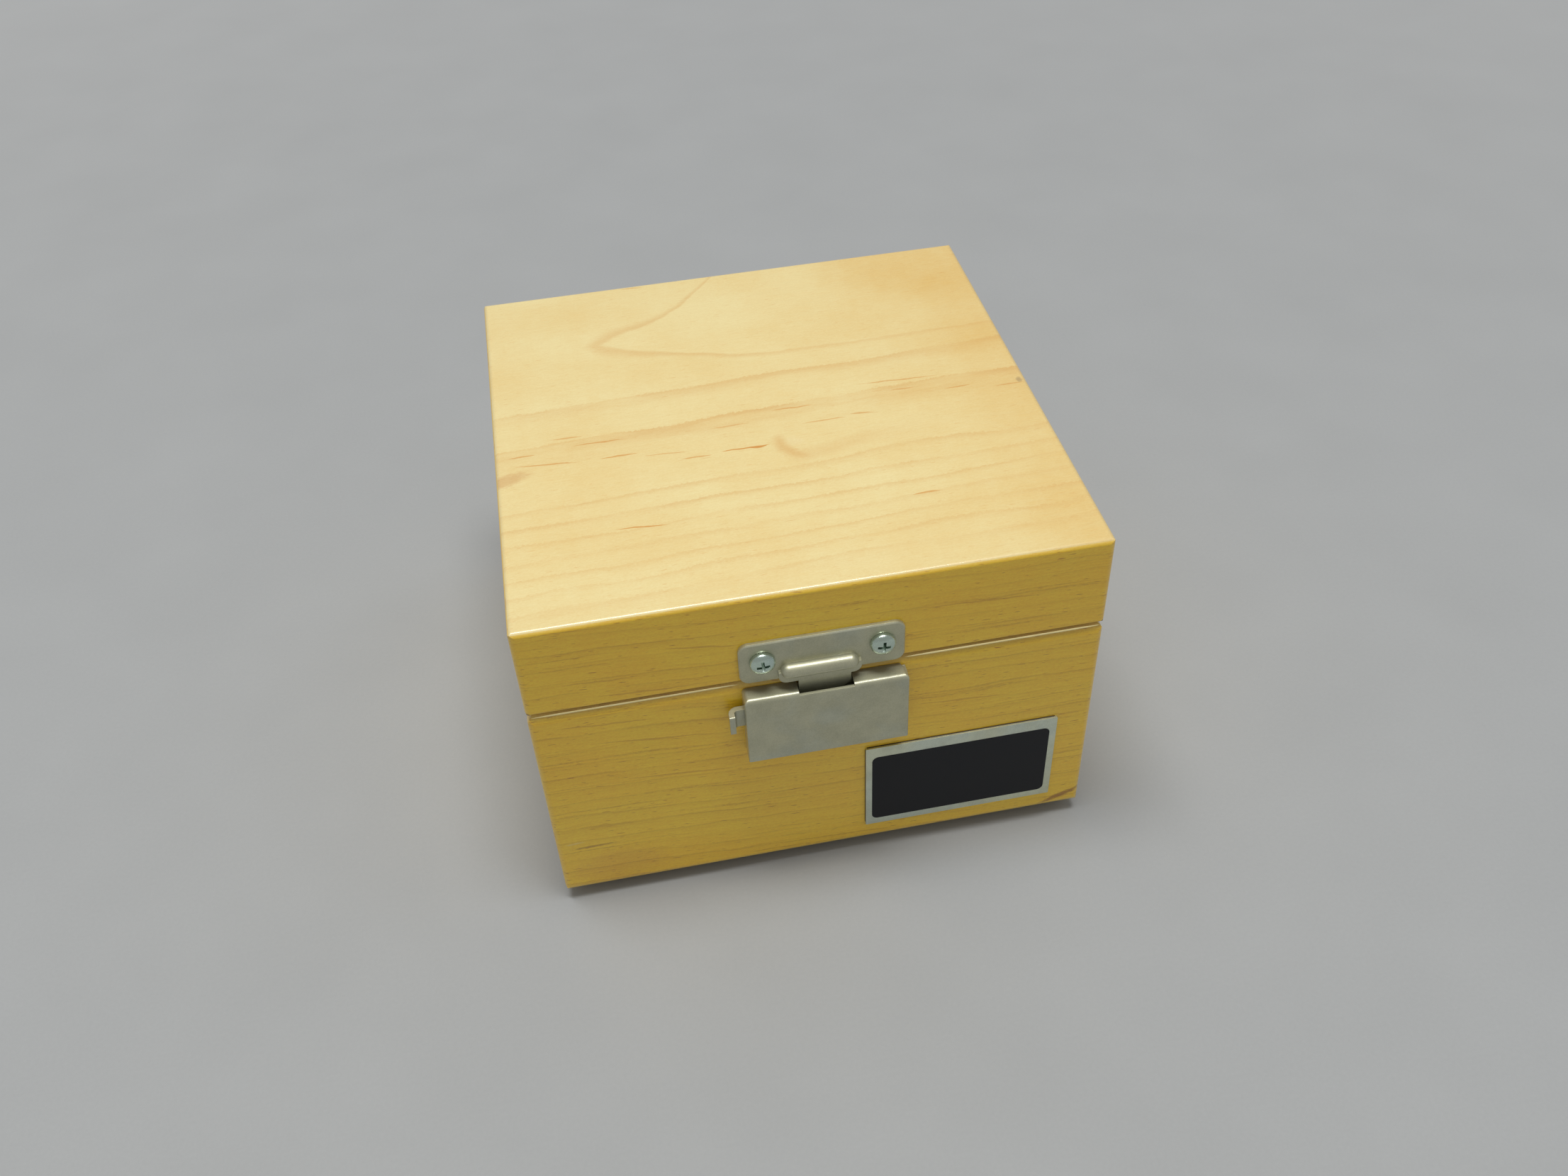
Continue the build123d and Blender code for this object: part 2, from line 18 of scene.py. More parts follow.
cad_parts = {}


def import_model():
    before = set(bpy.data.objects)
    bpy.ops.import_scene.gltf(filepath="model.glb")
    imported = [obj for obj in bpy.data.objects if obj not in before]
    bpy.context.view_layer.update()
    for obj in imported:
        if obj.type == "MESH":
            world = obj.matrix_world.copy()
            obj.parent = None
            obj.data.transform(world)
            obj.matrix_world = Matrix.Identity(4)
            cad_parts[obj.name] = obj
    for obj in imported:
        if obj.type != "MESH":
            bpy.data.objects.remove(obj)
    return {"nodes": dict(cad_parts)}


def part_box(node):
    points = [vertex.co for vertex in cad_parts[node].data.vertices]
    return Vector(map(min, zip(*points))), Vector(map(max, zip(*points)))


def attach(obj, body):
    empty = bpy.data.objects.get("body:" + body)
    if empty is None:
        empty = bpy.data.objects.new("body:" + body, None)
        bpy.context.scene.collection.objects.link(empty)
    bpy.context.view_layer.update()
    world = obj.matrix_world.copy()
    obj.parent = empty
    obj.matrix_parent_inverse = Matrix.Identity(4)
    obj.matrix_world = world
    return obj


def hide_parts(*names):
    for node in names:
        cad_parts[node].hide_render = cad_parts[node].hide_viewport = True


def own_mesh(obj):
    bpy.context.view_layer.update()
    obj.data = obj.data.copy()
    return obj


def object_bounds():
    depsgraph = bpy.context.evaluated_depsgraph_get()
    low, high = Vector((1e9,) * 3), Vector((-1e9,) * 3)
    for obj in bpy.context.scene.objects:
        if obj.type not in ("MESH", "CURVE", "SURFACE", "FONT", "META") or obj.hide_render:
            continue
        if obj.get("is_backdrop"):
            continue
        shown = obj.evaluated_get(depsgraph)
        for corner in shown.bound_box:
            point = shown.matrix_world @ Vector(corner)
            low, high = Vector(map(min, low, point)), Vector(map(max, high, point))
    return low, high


log = logging.getLogger("instrument_case")

MM = 0.001
PHOTO_WIDTH_PX = 2212
SENSOR_MM = 36.0

Colour = tuple[float, float, float]
Curve = tuple[tuple[float, float], ...]


def srgb(red: int, green: int, blue: int) -> Colour:
    """Turns a colour as a screen shows it, 0 to 255, into the linear values that shaders take."""
    shares = (channel / 255 for channel in (red, green, blue))
    return tuple(s / 12.92 if s <= 0.04045 else ((s + 0.055) / 1.055) ** 2.4 for s in shares)


def dimmed(colour: Colour, share: float) -> Colour:
    """A colour with each part multiplied."""
    return tuple(share * part for part in colour)


class Term:
    """One value in a node tree, to write sums and products with."""

    def __init__(self, graph: Graph, socket: bpy.types.NodeSocket) -> None:
        """Wraps a node's output."""
        self.graph, self.socket = graph, socket

    def __add__(self, other: Value) -> Term:
        """The sum."""
        return self.graph.math("ADD", self, other)

    def __sub__(self, other: Value) -> Term:
        """The difference."""
        return self.graph.math("SUBTRACT", self, other)

    def __rsub__(self, other: Value) -> Term:
        """A number less this value."""
        return self.graph.math("SUBTRACT", other, self)

    def __mul__(self, other: Value) -> Term:
        """The product."""
        return self.graph.math("MULTIPLY", self, other)

    def __truediv__(self, other: Value) -> Term:
        """The quotient."""
        return self.graph.math("DIVIDE", self, other)

    def __pow__(self, other: Value) -> Term:
        """The power."""
        return self.graph.math("POWER", self, other)

    def __gt__(self, other: Value) -> Term:
        """1 where this value is the larger one, and else 0."""
        return self.graph.math("GREATER_THAN", self, other)

    def __abs__(self) -> Term:
        """The value without its sign."""
        return self.graph.math("ABSOLUTE", self)

    def most(self, other: Value) -> Term:
        """The larger of two values."""
        return self.graph.math("MAXIMUM", self, other)

    def clamped(self) -> Term:
        """The value kept from 0 to 1."""
        return self.graph.math("ADD", self, 0.0, clamp=True)

    def smooth(self, start: float, end: float, low: float = 0.0, high: float = 1.0) -> Term:
        """Moves smoothly from low to high as the value goes from start up or down to end."""
        ends = {"Value": self, "From Min": start, "From Max": end, "To Min": low, "To Max": high}
        return self.graph.term("ShaderNodeMapRange", ends, interpolation_type="SMOOTHSTEP")

    def share(self, start: float, end: float) -> Term:
        """How far the value has gone from start to end, from 0 to 1."""
        return self.graph.term("ShaderNodeMapRange", {"Value": self, "From Min": start, "From Max": end})

    def profile(self, points: Curve) -> Term:
        """Follows a smooth curve through a few points.

        Args:
            points: X and Y pairs, with X rising.

        Returns:
            The curve's Y at this value.
        """
        first, last = points[0][0], points[-1][0]
        heights = [y for _, y in points]
        low, high = min(heights), max(heights)
        node = self.graph.add("ShaderNodeFloatCurve", {"Value": self.share(first, last)})
        curve = node.mapping.curves[0]
        places = [((x - first) / (last - first), (y - low) / (high - low)) for x, y in points]
        curve.points[0].location, curve.points[1].location = places[0], places[-1]
        for place in places[1:-1]:
            curve.points.new(*place)
        node.mapping.update()
        return Term(self.graph, node.outputs[0]) * (high - low) + low

    def ramp(self, stops: list[tuple[float, float]]) -> Term:
        """Reads a level off straight lines between stops.

        Args:
            stops: Place and level pairs in order, at most 32.

        Returns:
            The level at this value.
        """
        first, last = stops[0][0], stops[-1][0]
        node = self.graph.add("ShaderNodeValToRGB", {0: self.share(first, last)})
        elements = node.color_ramp.elements
        elements.remove(elements[-1])
        elements[0].position, elements[0].color = 0.0, (stops[0][1],) * 3 + (1.0,)
        for place, level in stops[1:]:
            elements.new((place - first) / (last - first)).color = (level,) * 3 + (1.0,)
        return Term(self.graph, node.outputs[0])

    __radd__, __rmul__ = __add__, __mul__


Value = float | tuple | Term | bpy.types.NodeSocket


class Graph:
    """A node tree, written as short calls."""

    def __init__(self, tree: bpy.types.NodeTree) -> None:
        """Empties a tree, to write it anew."""
        self.tree = tree
        tree.nodes.clear()

    def add(self, kind: str, inputs: dict | None = None, **settings) -> bpy.types.Node:
        """Adds a node.

        Args:
            kind: The node's type.
            inputs: Values by input name or number: another node's output, a number or a colour.
            **settings: The node's own properties.

        Returns:
            The node.
        """
        node = self.tree.nodes.new(kind)
        for key, value in settings.items():
            setattr(node, key, value)
        for key, value in (inputs or {}).items():
            socket = node.inputs[key]
            value = value.socket if isinstance(value, Term) else value
            if isinstance(value, bpy.types.NodeSocket):
                self.tree.links.new(value, socket)
            elif socket.type == "RGBA":
                socket.default_value = (*value, 1.0)
            else:
                socket.default_value = value
        return node

    def term(self, kind: str, inputs: dict | None = None, output: int | str = 0, **settings) -> Term:
        """Adds a node and gives one of its outputs."""
        return Term(self, self.add(kind, inputs, **settings).outputs[output])

    def math(self, operation: str, *values: Value, clamp: bool = False) -> Term:
        """Adds a Math node and gives its result."""
        return self.term("ShaderNodeMath", dict(enumerate(values)), operation=operation, use_clamp=clamp)

    def combine(self, x: Value, y: Value, z: Value) -> Term:
        """A vector from its three parts."""
        return self.term("ShaderNodeCombineXYZ", {0: x, 1: y, 2: z})

    def noise(self, place: Term, scale: float = 1.0, detail: float = 2.0, rough: float = 0.5) -> Term:
        """Cloudy noise: so many clouds for each unit, so many finer octaves, and how strong they are."""
        inputs = {"Vector": place, "Scale": scale, "Detail": detail, "Roughness": rough}
        return self.term("ShaderNodeTexNoise", inputs)

    def mix(self, share: Value, first: Value, second: Value, blend: str = "MIX") -> Term:
        """Mixes a share of a second colour into a first one."""
        inputs = {0: share, 6: first, 7: second}
        return self.term("ShaderNodeMix", inputs, 2, data_type="RGBA", blend_type=blend)

    def seen(self) -> Term:
        """1 for a ray from the camera, a gloss or a clear body, and 0 for soft light."""
        path = self.add("ShaderNodeLightPath").outputs
        seen = self.math("MAXIMUM", path["Is Camera Ray"], path["Is Glossy Ray"])
        return seen.most(path["Is Transmission Ray"])


class Surface(Graph):
    """A material's node tree."""

    def __init__(self, name: str) -> None:
        """Starts an empty material."""
        self.material = bpy.data.materials.new(name)
        self.material.use_nodes = True
        super().__init__(self.material.node_tree)

    def position(self) -> tuple[Term, Term, Term, Term]:
        """The point on the object in millimetres, as X, Y and Z and as one vector."""
        place = self.term("ShaderNodeTexCoord", output="Object")
        grown = self.term("ShaderNodeVectorMath", {0: place, "Scale": 1 / MM}, operation="SCALE")
        parts = self.add("ShaderNodeSeparateXYZ", {0: grown}).outputs
        return Term(self, parts[0]), Term(self, parts[1]), Term(self, parts[2]), grown

    def lying(self) -> Term:
        """How nearly level the surface is: 0 on an upright face, 1 on a level one."""
        normal = self.term("ShaderNodeTexCoord", output="Normal")
        return abs(self.term("ShaderNodeSeparateXYZ", {0: normal}, 2))

    def bump(self, height: Term, depth_mm: float, **inputs: Term) -> Term:
        """Bends the light over a relief of so many millimetres, and over one that lies under it."""
        return self.term("ShaderNodeBump", {"Distance": depth_mm * MM, "Height": height, **inputs})

    def finish(self, **sockets: Value) -> bpy.types.Material:
        """Ends the tree in one Principled shader.

        Args:
            **sockets: Its inputs, with _ for a space.

        Returns:
            The material.
        """
        inputs = {key.replace("_", " "): value for key, value in sockets.items()}
        shader = self.term("ShaderNodeBsdfPrincipled", inputs)
        self.add("ShaderNodeOutputMaterial", {0: shader})
        return self.material


class Recipe(Graph):
    """A Geometry Nodes tree with named inputs."""

    def __init__(self, name: str, kinds: dict[str, str]) -> None:
        """Starts a tree.

        Args:
            name: The tree's name.
            kinds: The kind of each input by its name, besides Geometry and Finish.
        """
        super().__init__(bpy.data.node_groups.new(name, "GeometryNodeTree"))
        face = self.tree.interface
        for key, kind in {"Geometry": "Geometry", **kinds, "Finish": "Material"}.items():
            face.new_socket(key, in_out="INPUT", socket_type=f"NodeSocket{kind}")
        face.new_socket("Geometry", in_out="OUTPUT", socket_type="NodeSocketGeometry")
        self.given = self.add("NodeGroupInput").outputs

    def apply(self, made: bpy.types.Object, shape: Term, values: dict) -> None:
        """Ends the tree in its finish and replaces an object's mesh by what the tree makes.

        Args:
            made: The object.
            shape: The geometry that the tree makes.
            values: The inputs' values by name.
        """
        real = self.term("GeometryNodeRealizeInstances", {0: shape})
        paint = self.term("GeometryNodeSetMaterial", {"Geometry": real, "Material": self.given["Finish"]})
        self.add("NodeGroupOutput", {0: paint})
        modifier = made.modifiers.new(self.tree.name, "NODES")
        modifier.node_group = self.tree
        for socket in self.tree.interface.items_tree:
            if socket.in_out == "INPUT" and socket.name in values:
                modifier[socket.identifier] = values[socket.name]
        bake(made)


class Cut(Enum):
    """Which way a board's grain runs, then its width, then its thickness, as axis numbers."""

    ALONG_X_LYING = (0, 1, 2)
    ALONG_X_STANDING = (0, 2, 1)
    ALONG_Y_STANDING = (1, 2, 0)


@dataclass(frozen=True)
class Vessel:
    """One open vessel line that the lacquer has stained, in millimetres on the board's face."""

    start: float
    end: float
    height: float
    depth: float = 0.6
    rise: float = 0.0
    width: float = 0.35


@dataclass(frozen=True)
class Mark:
    """A soft patch on a board, such as a stain, a scuff or a darker spot, in millimetres."""

    along: float
    across: float
    half_length: float
    half_width: float
    colour: Colour
    depth: float = 0.5
    lean: float = 0.0
    ragged: float = 0.6


class Grain:
    """The grain of one board: each point's place along, across and through it and on its rings."""

    def __init__(self, wood: Maple) -> None:
        """Lays the grain of a board into a new material.

        Args:
            wood: The board's wood.
        """
        self.graph = Surface(wood.name)
        parts = self.graph.position()
        self.along, self.across, self.through = (parts[number] for number in wood.cut.value)
        slow = self.clouds(self.across, (38, 16), wood.seed, detail=1)
        quick = self.clouds(self.across, (9, 7), wood.seed + 4, detail=1)
        sway = slow * (2 * wood.sway_mm) - wood.sway_mm
        self.ring = self.across + self.along.profile(wood.sag) + sway + (quick * 0.9 - 0.45)

    def clouds(
        self, across: Term, size_mm: tuple[float, float], layer: Value, detail: float = 2.0, rough: float = 0.5
    ) -> Term:
        """Noise drawn out along the grain: each cloud so long and so wide, in one layer of the noise."""
        place = self.graph.combine(self.along * (1 / size_mm[0]), across * (1 / size_mm[1]), layer)
        return self.graph.noise(place, detail=detail, rough=rough)


@dataclass(frozen=True)
class Figure:
    """The top board's own figure: a cathedral point, a knot's shadow and warm corners.

    Each curve gives a height, a width or a strength by the place along the board.
    """

    spine: Curve = ((-78, 43), (-35, 43.2), (-22, 44), (-3, 51.5), (20, 70), (78, 100))
    spread: Curve = (
        (-78, -40), (-48, -7), (-43, -0.5), (-35, 4.4), (-22, 9.2), (-3, 22.5), (20, 43), (78, 73),
    )  # fmt: skip
    soft: Curve = ((-78, 7), (-45, 4.5), (-20, 1.9), (0, 1.5), (78, 1.2))
    fade: Curve = ((-78, 0), (-52, 0.12), (-38, 0.34), (-10, 0.3), (20, 0.24), (78, 0.2))
    tail: Curve = ((0, -25), (12, -23.5), (28, -20), (45, -18.5), (78, -18))
    knot: tuple[float, float] = (8.0, -17.8)
    crescent_strength: float = 0.42
    tail_strength: float = 0.2

    def darkness(self, grain: Grain) -> Term:
        """How dark the cathedral's line and the knot's shadow are.

        Args:
            grain: The board's grain.

        Returns:
            The share of the line's colour.
        """
        graph, along, across = grain.graph, grain.along, grain.across
        ragged = graph.noise(graph.combine(along * (1 / 9), across * (1 / 9), 3.0))
        beside = abs((grain.ring - across) * 0.3 + across - along.profile(self.spine))
        outside = (beside - (ragged * 2.4 + along.profile(self.spread))) / along.profile(self.soft)
        band = outside.smooth(-0.6, 0.0) * outside.smooth(1.5, 0.0) * along.profile(self.fade)

        knot_x, knot_y = along - self.knot[0], across - self.knot[1]
        swirl = ragged * 3.0 + (knot_x * knot_x + knot_y * knot_y) ** 0.5
        open_side = (knot_x + knot_y * 0.7).smooth(-1.0, -6.5)
        crescent = swirl.smooth(4.4, 7.6) * swirl.smooth(11.0, 7.8) * open_side
        tail = abs(across - along.profile(self.tail)).smooth(4.2, 0.5)
        tail *= along.smooth(1, 6) * along.smooth(48, 14)
        return band.most((crescent * self.crescent_strength).most(tail * self.tail_strength))

    def warmth(self, grain: Grain, layer: float) -> Term:
        """How warm the wood is at the right and in the back right corner.

        Args:
            grain: The board's grain.
            layer: Which layer of the noise it follows.

        Returns:
            The share of the warm colour.
        """
        cloud = grain.clouds(grain.across, (30, 24), layer, detail=3)
        right = (cloud * 26.0 + grain.along).smooth(30.0, 95.0, 0.0, 0.6)
        corner = grain.across * 0.6 + (cloud * 30.0 + grain.along)
        return right.most(corner.smooth(74.0, 104.0, 0.0, 0.7))


@dataclass(frozen=True)
class Maple:
    """Maple under satin lacquer, one board of it. The values here are a wall's."""

    name: str
    cut: Cut = Cut.ALONG_X_STANDING
    # The walls' deep gold is partly painted shade: the same maple as the top, as saturated as the shaded front
    # looks.
    pale: Colour = srgb(255, 218, 54)
    warm: Colour = srgb(255, 194, 42)
    line: Colour = srgb(170, 106, 26)
    rings: Curve = ()
    ring_gap_mm: float = 5.2
    sag: Curve = ((-80, 0), (80, 1))
    vessels: tuple[Vessel, ...] = ()
    vessel_stain: Colour = srgb(182, 116, 30)
    marks: tuple[Mark, ...] = ()
    pore_strength: float = 0.8
    ring_strength: float = 0.42
    streak_strength: float = 0.45
    ripple_mm: float = 0.0
    sway_mm: float = 1.2
    mottle: float = 0.68
    shade_tint: Colour = (0.87, 0.7, 0.42)
    seed: float = 0.0
    figure: Figure | None = None
    outside_mm: float = 76.2
    slit_mm: float = 77.8
    # The pale of sanded rims, partly a painted highlight where they face the overhead light.
    sanded_and_lit_pale: Colour = srgb(240, 216, 146)
    # Painted shade: the dark brown deep in the slit under the lid.
    slit_shade: Colour = srgb(72, 34, 12)
    speck_brown: Colour = srgb(96, 74, 44)
    past_rings_mm: float = 12.0

    def ring_lines(self, grain: Grain) -> Term:
        """The growth rings: each darkens slowly to its late wood and then stops short.

        Args:
            grain: The board's grain.

        Returns:
            How dark the ring is.
        """
        stops = [(self.rings[0][0] - self.past_rings_mm, 0.0)]
        for height, level in self.rings:
            gap = height - stops[-1][0]
            stops += [(height - 0.5 * gap, 0.0), (height, level**0.5), (height + min(0.5, 0.2 * gap), 0.0)]
        stops.append((self.rings[-1][0] + self.past_rings_mm, 0.0))
        teeth = grain.clouds(grain.ring, (0.8, 1.6), self.seed + 14, detail=3, rough=0.6)
        jagged = grain.ring + teeth * (2 * self.ripple_mm) - self.ripple_mm
        patch = grain.clouds(grain.ring, (26, 3.5), self.seed + 9)
        return jagged.ramp(stops) ** 2.0 * patch.smooth(0.3, 0.62, 0.3, 1.0)

    def even_lines(self, grain: Grain) -> Term:
        """The growth rings of a straight-grained board, at a spacing that wanders.

        Args:
            grain: The board's grain.

        Returns:
            How dark the ring is.
        """
        wander = grain.clouds(grain.ring, (170, 11), self.seed + 9, detail=1)
        count = grain.ring * (1 / self.ring_gap_mm) + wander * 1.6
        number = {"W": grain.graph.math("FLOOR", count)}
        own = grain.graph.term("ShaderNodeTexWhiteNoise", number, "Value", noise_dimensions="1D")
        teeth = grain.clouds(grain.ring, (1.1, 0.5), self.seed + 14, detail=3, rough=0.65)
        share = grain.graph.math("FRACT", teeth * 0.14 + count)
        line = share.ramp([(0.0, 0.0), (0.35, 0.02), (0.84, 0.3), (0.93, 1.0), (1.0, 0.0)])
        patch = grain.clouds(grain.ring, (24, 4.5), self.seed + 10)
        return line * (own * 0.65 + 0.35) * patch.smooth(0.3, 0.62, 0.25, 1.0)

    def streaks(self, grain: Grain) -> Term:
        """The thin dark lines of a straight-grained board, each broken into short dashes.

        Args:
            grain: The board's grain.

        Returns:
            How dark the line is.
        """
        runs = grain.clouds(grain.ring, (75, 0.85), self.seed + 11, detail=1)
        dashes = grain.clouds(grain.ring, (1.5, 0.26), self.seed + 12, rough=0.65)
        patch = grain.clouds(grain.ring, (17, 5), self.seed + 13)
        thin = runs.smooth(0.62, 0.71) * dashes.smooth(0.4, 0.6, 0.25, 1.0)
        halo = runs.smooth(0.54, 0.68, 0.0, 0.25)
        return thin.most(halo) * patch.smooth(0.34, 0.58, 0.25, 1.0)

    def marked(self, grain: Grain, colour: Term) -> Term:
        """Lays the board's marks over its colour.

        Args:
            grain: The board's grain.
            colour: The board's colour.

        Returns:
            The colour with the marks on it.
        """
        torn = grain.clouds(grain.across, (1.6, 0.7), self.seed + 17, detail=3, rough=0.7)
        for mark in self.marks:
            beside = grain.along - mark.along
            above = grain.across - mark.across - beside * mark.lean
            far = (beside * (1 / mark.half_length)) ** 2.0 + (above * (1 / mark.half_width)) ** 2.0
            far = far + (torn * (2 * mark.ragged) - mark.ragged)
            colour = grain.graph.mix(far.smooth(1.0, 0.1, 0.0, mark.depth), colour, mark.colour)
        return colour

    def edged(self, grain: Grain, colour: Term) -> Term:
        """Pales faces that turn level, partly as sanded wood and partly as a painted highlight; paints shade
        deep in the slit under the lid.

        Args:
            grain: The wall's grain.
            colour: The wall's colour.

        Returns:
            The colour with both edges on it.
        """
        graph = grain.graph
        # Painted highlight, partly real sanding: faces that turn level, up or down, get paler.
        sanded_and_lit = graph.mix(0.7, colour, self.sanded_and_lit_pale)
        colour = graph.mix(graph.lying().smooth(0.2, 0.85, 0.0, 0.8), colour, sanded_and_lit)
        # Painted shade: the wood just inside the outer face, beside the slit under the lid, turns dark brown.
        deep = self.outside_mm - abs(grain.through)
        hidden = deep.smooth(0.02, 0.16) * deep.smooth(1.2, 0.9)
        near = abs(grain.across - self.slit_mm).smooth(0.55, 0.45, 0.0, 0.97)
        return graph.mix(hidden * near, colour, self.slit_shade)

    def vessel_lines(self, grain: Grain) -> Term:
        """The stained vessels that show one by one.

        Args:
            grain: The board's grain.

        Returns:
            How deep the stain is.
        """
        place = grain.graph.combine(grain.along * (1 / 5), grain.across * (1 / 2), self.seed)
        wavy = grain.graph.noise(place, detail=3) * 1.1 + grain.across - 0.55
        shown: Value = 0.0
        for vessel in self.vessels:
            middle, half = (vessel.start + vessel.end) / 2, (vessel.end - vessel.start) / 2
            reach = (grain.along - middle) / half
            away = abs(wavy - (reach * vessel.rise + vessel.height))
            taper = 1.0 - abs(reach) ** 2.0
            thin = away / (taper * vessel.width).most(0.001)
            line = thin.smooth(1.3, 0.3, 0.0, vessel.depth)
            shown = (line * (taper > 0.0)).most(shown)
        return shown

    def build(self) -> bpy.types.Material:
        """Makes the material.

        Returns:
            The finished material.
        """
        grain, seed = Grain(self), self.seed
        graph, along, across, ring, through = grain.graph, grain.along, grain.across, grain.ring, grain.through
        fibre = grain.clouds(ring, (7, 0.42), through * 2.0, detail=3, rough=0.62)
        fleck = grain.clouds(across, (0.75, 0.3), through, detail=3, rough=0.7)
        rays = grain.clouds(across, (2.6, 0.55), through * 1.2)
        cloud = grain.clouds(across, (34, 22), seed + 2, detail=3)
        shimmer = grain.clouds(across, (5, 14), seed + 6, detail=1)
        pores = grain.clouds(ring, (3.5, 0.4), through + seed, detail=1, rough=0.4).smooth(0.68, 0.76)

        tone = fibre * 0.35 + (cloud * 0.9 - 0.42) + (rays * 0.4 - 0.2) + (shimmer * 0.2 - 0.1)
        lines = (self.ring_lines if self.rings else self.even_lines)(grain) * self.ring_strength
        if self.streak_strength:
            lines = lines.most(self.streaks(grain) * self.streak_strength)
        if self.figure:
            tone = tone + self.figure.warmth(grain, seed + 2) * 0.75
            lines = lines.most(self.figure.darkness(grain))
        colour = graph.mix(tone.clamped(), self.pale, self.warm)
        colour = graph.mix(lines.clamped(), colour, self.line)
        colour = graph.mix(pores * self.pore_strength, colour, self.vessel_stain)
        colour = self.marked(grain, colour)
        if self.outside_mm:
            colour = self.edged(grain, colour)
        relief = fibre * 0.25 - pores * 0.25
        if self.vessels:
            vessels = self.vessel_lines(grain)
            colour = graph.mix(vessels, colour, self.vessel_stain)
            relief = relief - vessels * 0.4
        speck_at = graph.combine(along * (1 / 0.9), across * (1 / 0.7), seed + 7)
        specks = graph.noise(speck_at, scale=0.35, detail=3, rough=0.75).smooth(0.75, 0.78, 0.0, 0.5)
        colour = graph.mix(specks, colour, self.speck_brown)
        shade = (fleck * 0.6 + fibre * 0.4).smooth(0.66, 0.34, 0.0, self.mottle)
        return graph.finish(
            Base_Color=graph.mix(shade, colour, self.shade_tint, "MULTIPLY"),
            Roughness=rays * 0.14 + cloud * 0.1 + 0.28,
            Normal=graph.bump(relief, 0.03),
            Coat_Weight=0.7,
            Coat_Roughness=0.14,
        )


@dataclass(frozen=True)
class Plated:
    """Plated or bare metal with a fine satin tooth and the marks of handling."""

    name: str
    colour: Colour
    roughness: float
    tooth_mm: float = 0.35
    mottle: float = 0.12
    stain: Colour = srgb(150, 132, 92)
    stained: float = 0.2
    cool: Colour = (0.92, 1.0, 1.2)
    worn_share: float = 0.68
    edge_mm: float = 0.12
    relief_mm: float = 0.006
    metallic: float = 1.0
    coat: float = 0.0

    def build(self) -> bpy.types.Material:
        """Makes the material.

        Returns:
            The finished material.
        """
        graph = Surface(self.name)
        place = graph.position()[3]
        tooth = graph.noise(place, scale=1 / self.tooth_mm, detail=4, rough=0.7)
        cloud = graph.noise(place, scale=0.16, detail=4, rough=0.62)
        drift = graph.noise(place, scale=0.07, detail=3)
        marks = graph.noise(place, scale=0.42, detail=6, rough=0.72).smooth(0.56, 0.74, 0.0, self.stained)
        worn = cloud.smooth(0.3, 0.7) * 0.36 + tooth.smooth(0.35, 0.65, 0.0, 0.3)
        colour = graph.mix(marks, self.colour, self.stain)
        colour = graph.mix(worn, colour, dimmed(self.colour, self.worn_share))
        colour = graph.mix(drift.smooth(0.42, 0.62, 0.0, 0.5), colour, self.cool, "MULTIPLY")
        eased = graph.term("ShaderNodeBevel", {"Radius": self.edge_mm * MM}, samples=4)
        return graph.finish(
            Base_Color=colour,
            Metallic=self.metallic,
            Roughness=cloud * self.mottle + (self.roughness - self.mottle / 2) + (tooth * 0.1 - 0.05),
            Normal=graph.bump(tooth, self.relief_mm, Normal=eased),
            Coat_Weight=self.coat,
            Coat_Roughness=0.16,
        )


@dataclass(frozen=True)
class Dull:
    """A dull finish with a fine grain: the painted rim highlight, print, rubber, the dark line round the
    nameplate.
    """

    name: str
    colour: Colour
    worn: Colour
    roughness: float
    grain_mm: float = 0.3
    relief_mm: float = 0.01
    specular: float = 0.5

    def build(self) -> bpy.types.Material:
        """Makes the material.

        Returns:
            The finished material.
        """
        graph = Surface(self.name)
        place = graph.position()[3]
        grain = graph.noise(place, scale=1 / self.grain_mm, detail=3, rough=0.6)
        cloud = graph.noise(place, scale=0.12, detail=4)
        return graph.finish(
            Base_Color=graph.mix(cloud * grain, self.colour, self.worn),
            Roughness=cloud * 0.16 + (self.roughness - 0.08),
            Specular_IOR_Level=self.specular,
            Normal=graph.bump(grain, self.relief_mm),
        )


@dataclass(frozen=True)
class Foam:
    """Charcoal open-cell foam with its cut cells, darker deep in each cell as painted shade."""

    name: str
    colour: Colour
    deep: Colour
    cell_mm: float = 1.1

    def build(self) -> bpy.types.Material:
        """Makes the material.

        Returns:
            The finished material.
        """
        graph = Surface(self.name)
        place = graph.position()[3]
        cells = {"Vector": place, "Scale": 1 / self.cell_mm, "Randomness": 1.0}
        fine = graph.noise(place, scale=1.9, detail=3, rough=0.7)
        wall = fine * 0.35 + graph.term("ShaderNodeTexVoronoi", cells, "Distance")
        cloud = graph.noise(place, scale=0.06, detail=3)
        # Painted shade: each cell's hollow middle is darker.
        colour = graph.mix(wall.smooth(0.15, 0.75), self.deep, self.colour)
        return graph.finish(
            Base_Color=graph.mix(cloud * 0.35, colour, dimmed(self.colour, 1.5)),
            Roughness=0.95,
            Specular_IOR_Level=0.2,
            Sheen_Weight=0.25,
            Sheen_Roughness=0.6,
            Normal=graph.bump(wall, 0.3),
        )


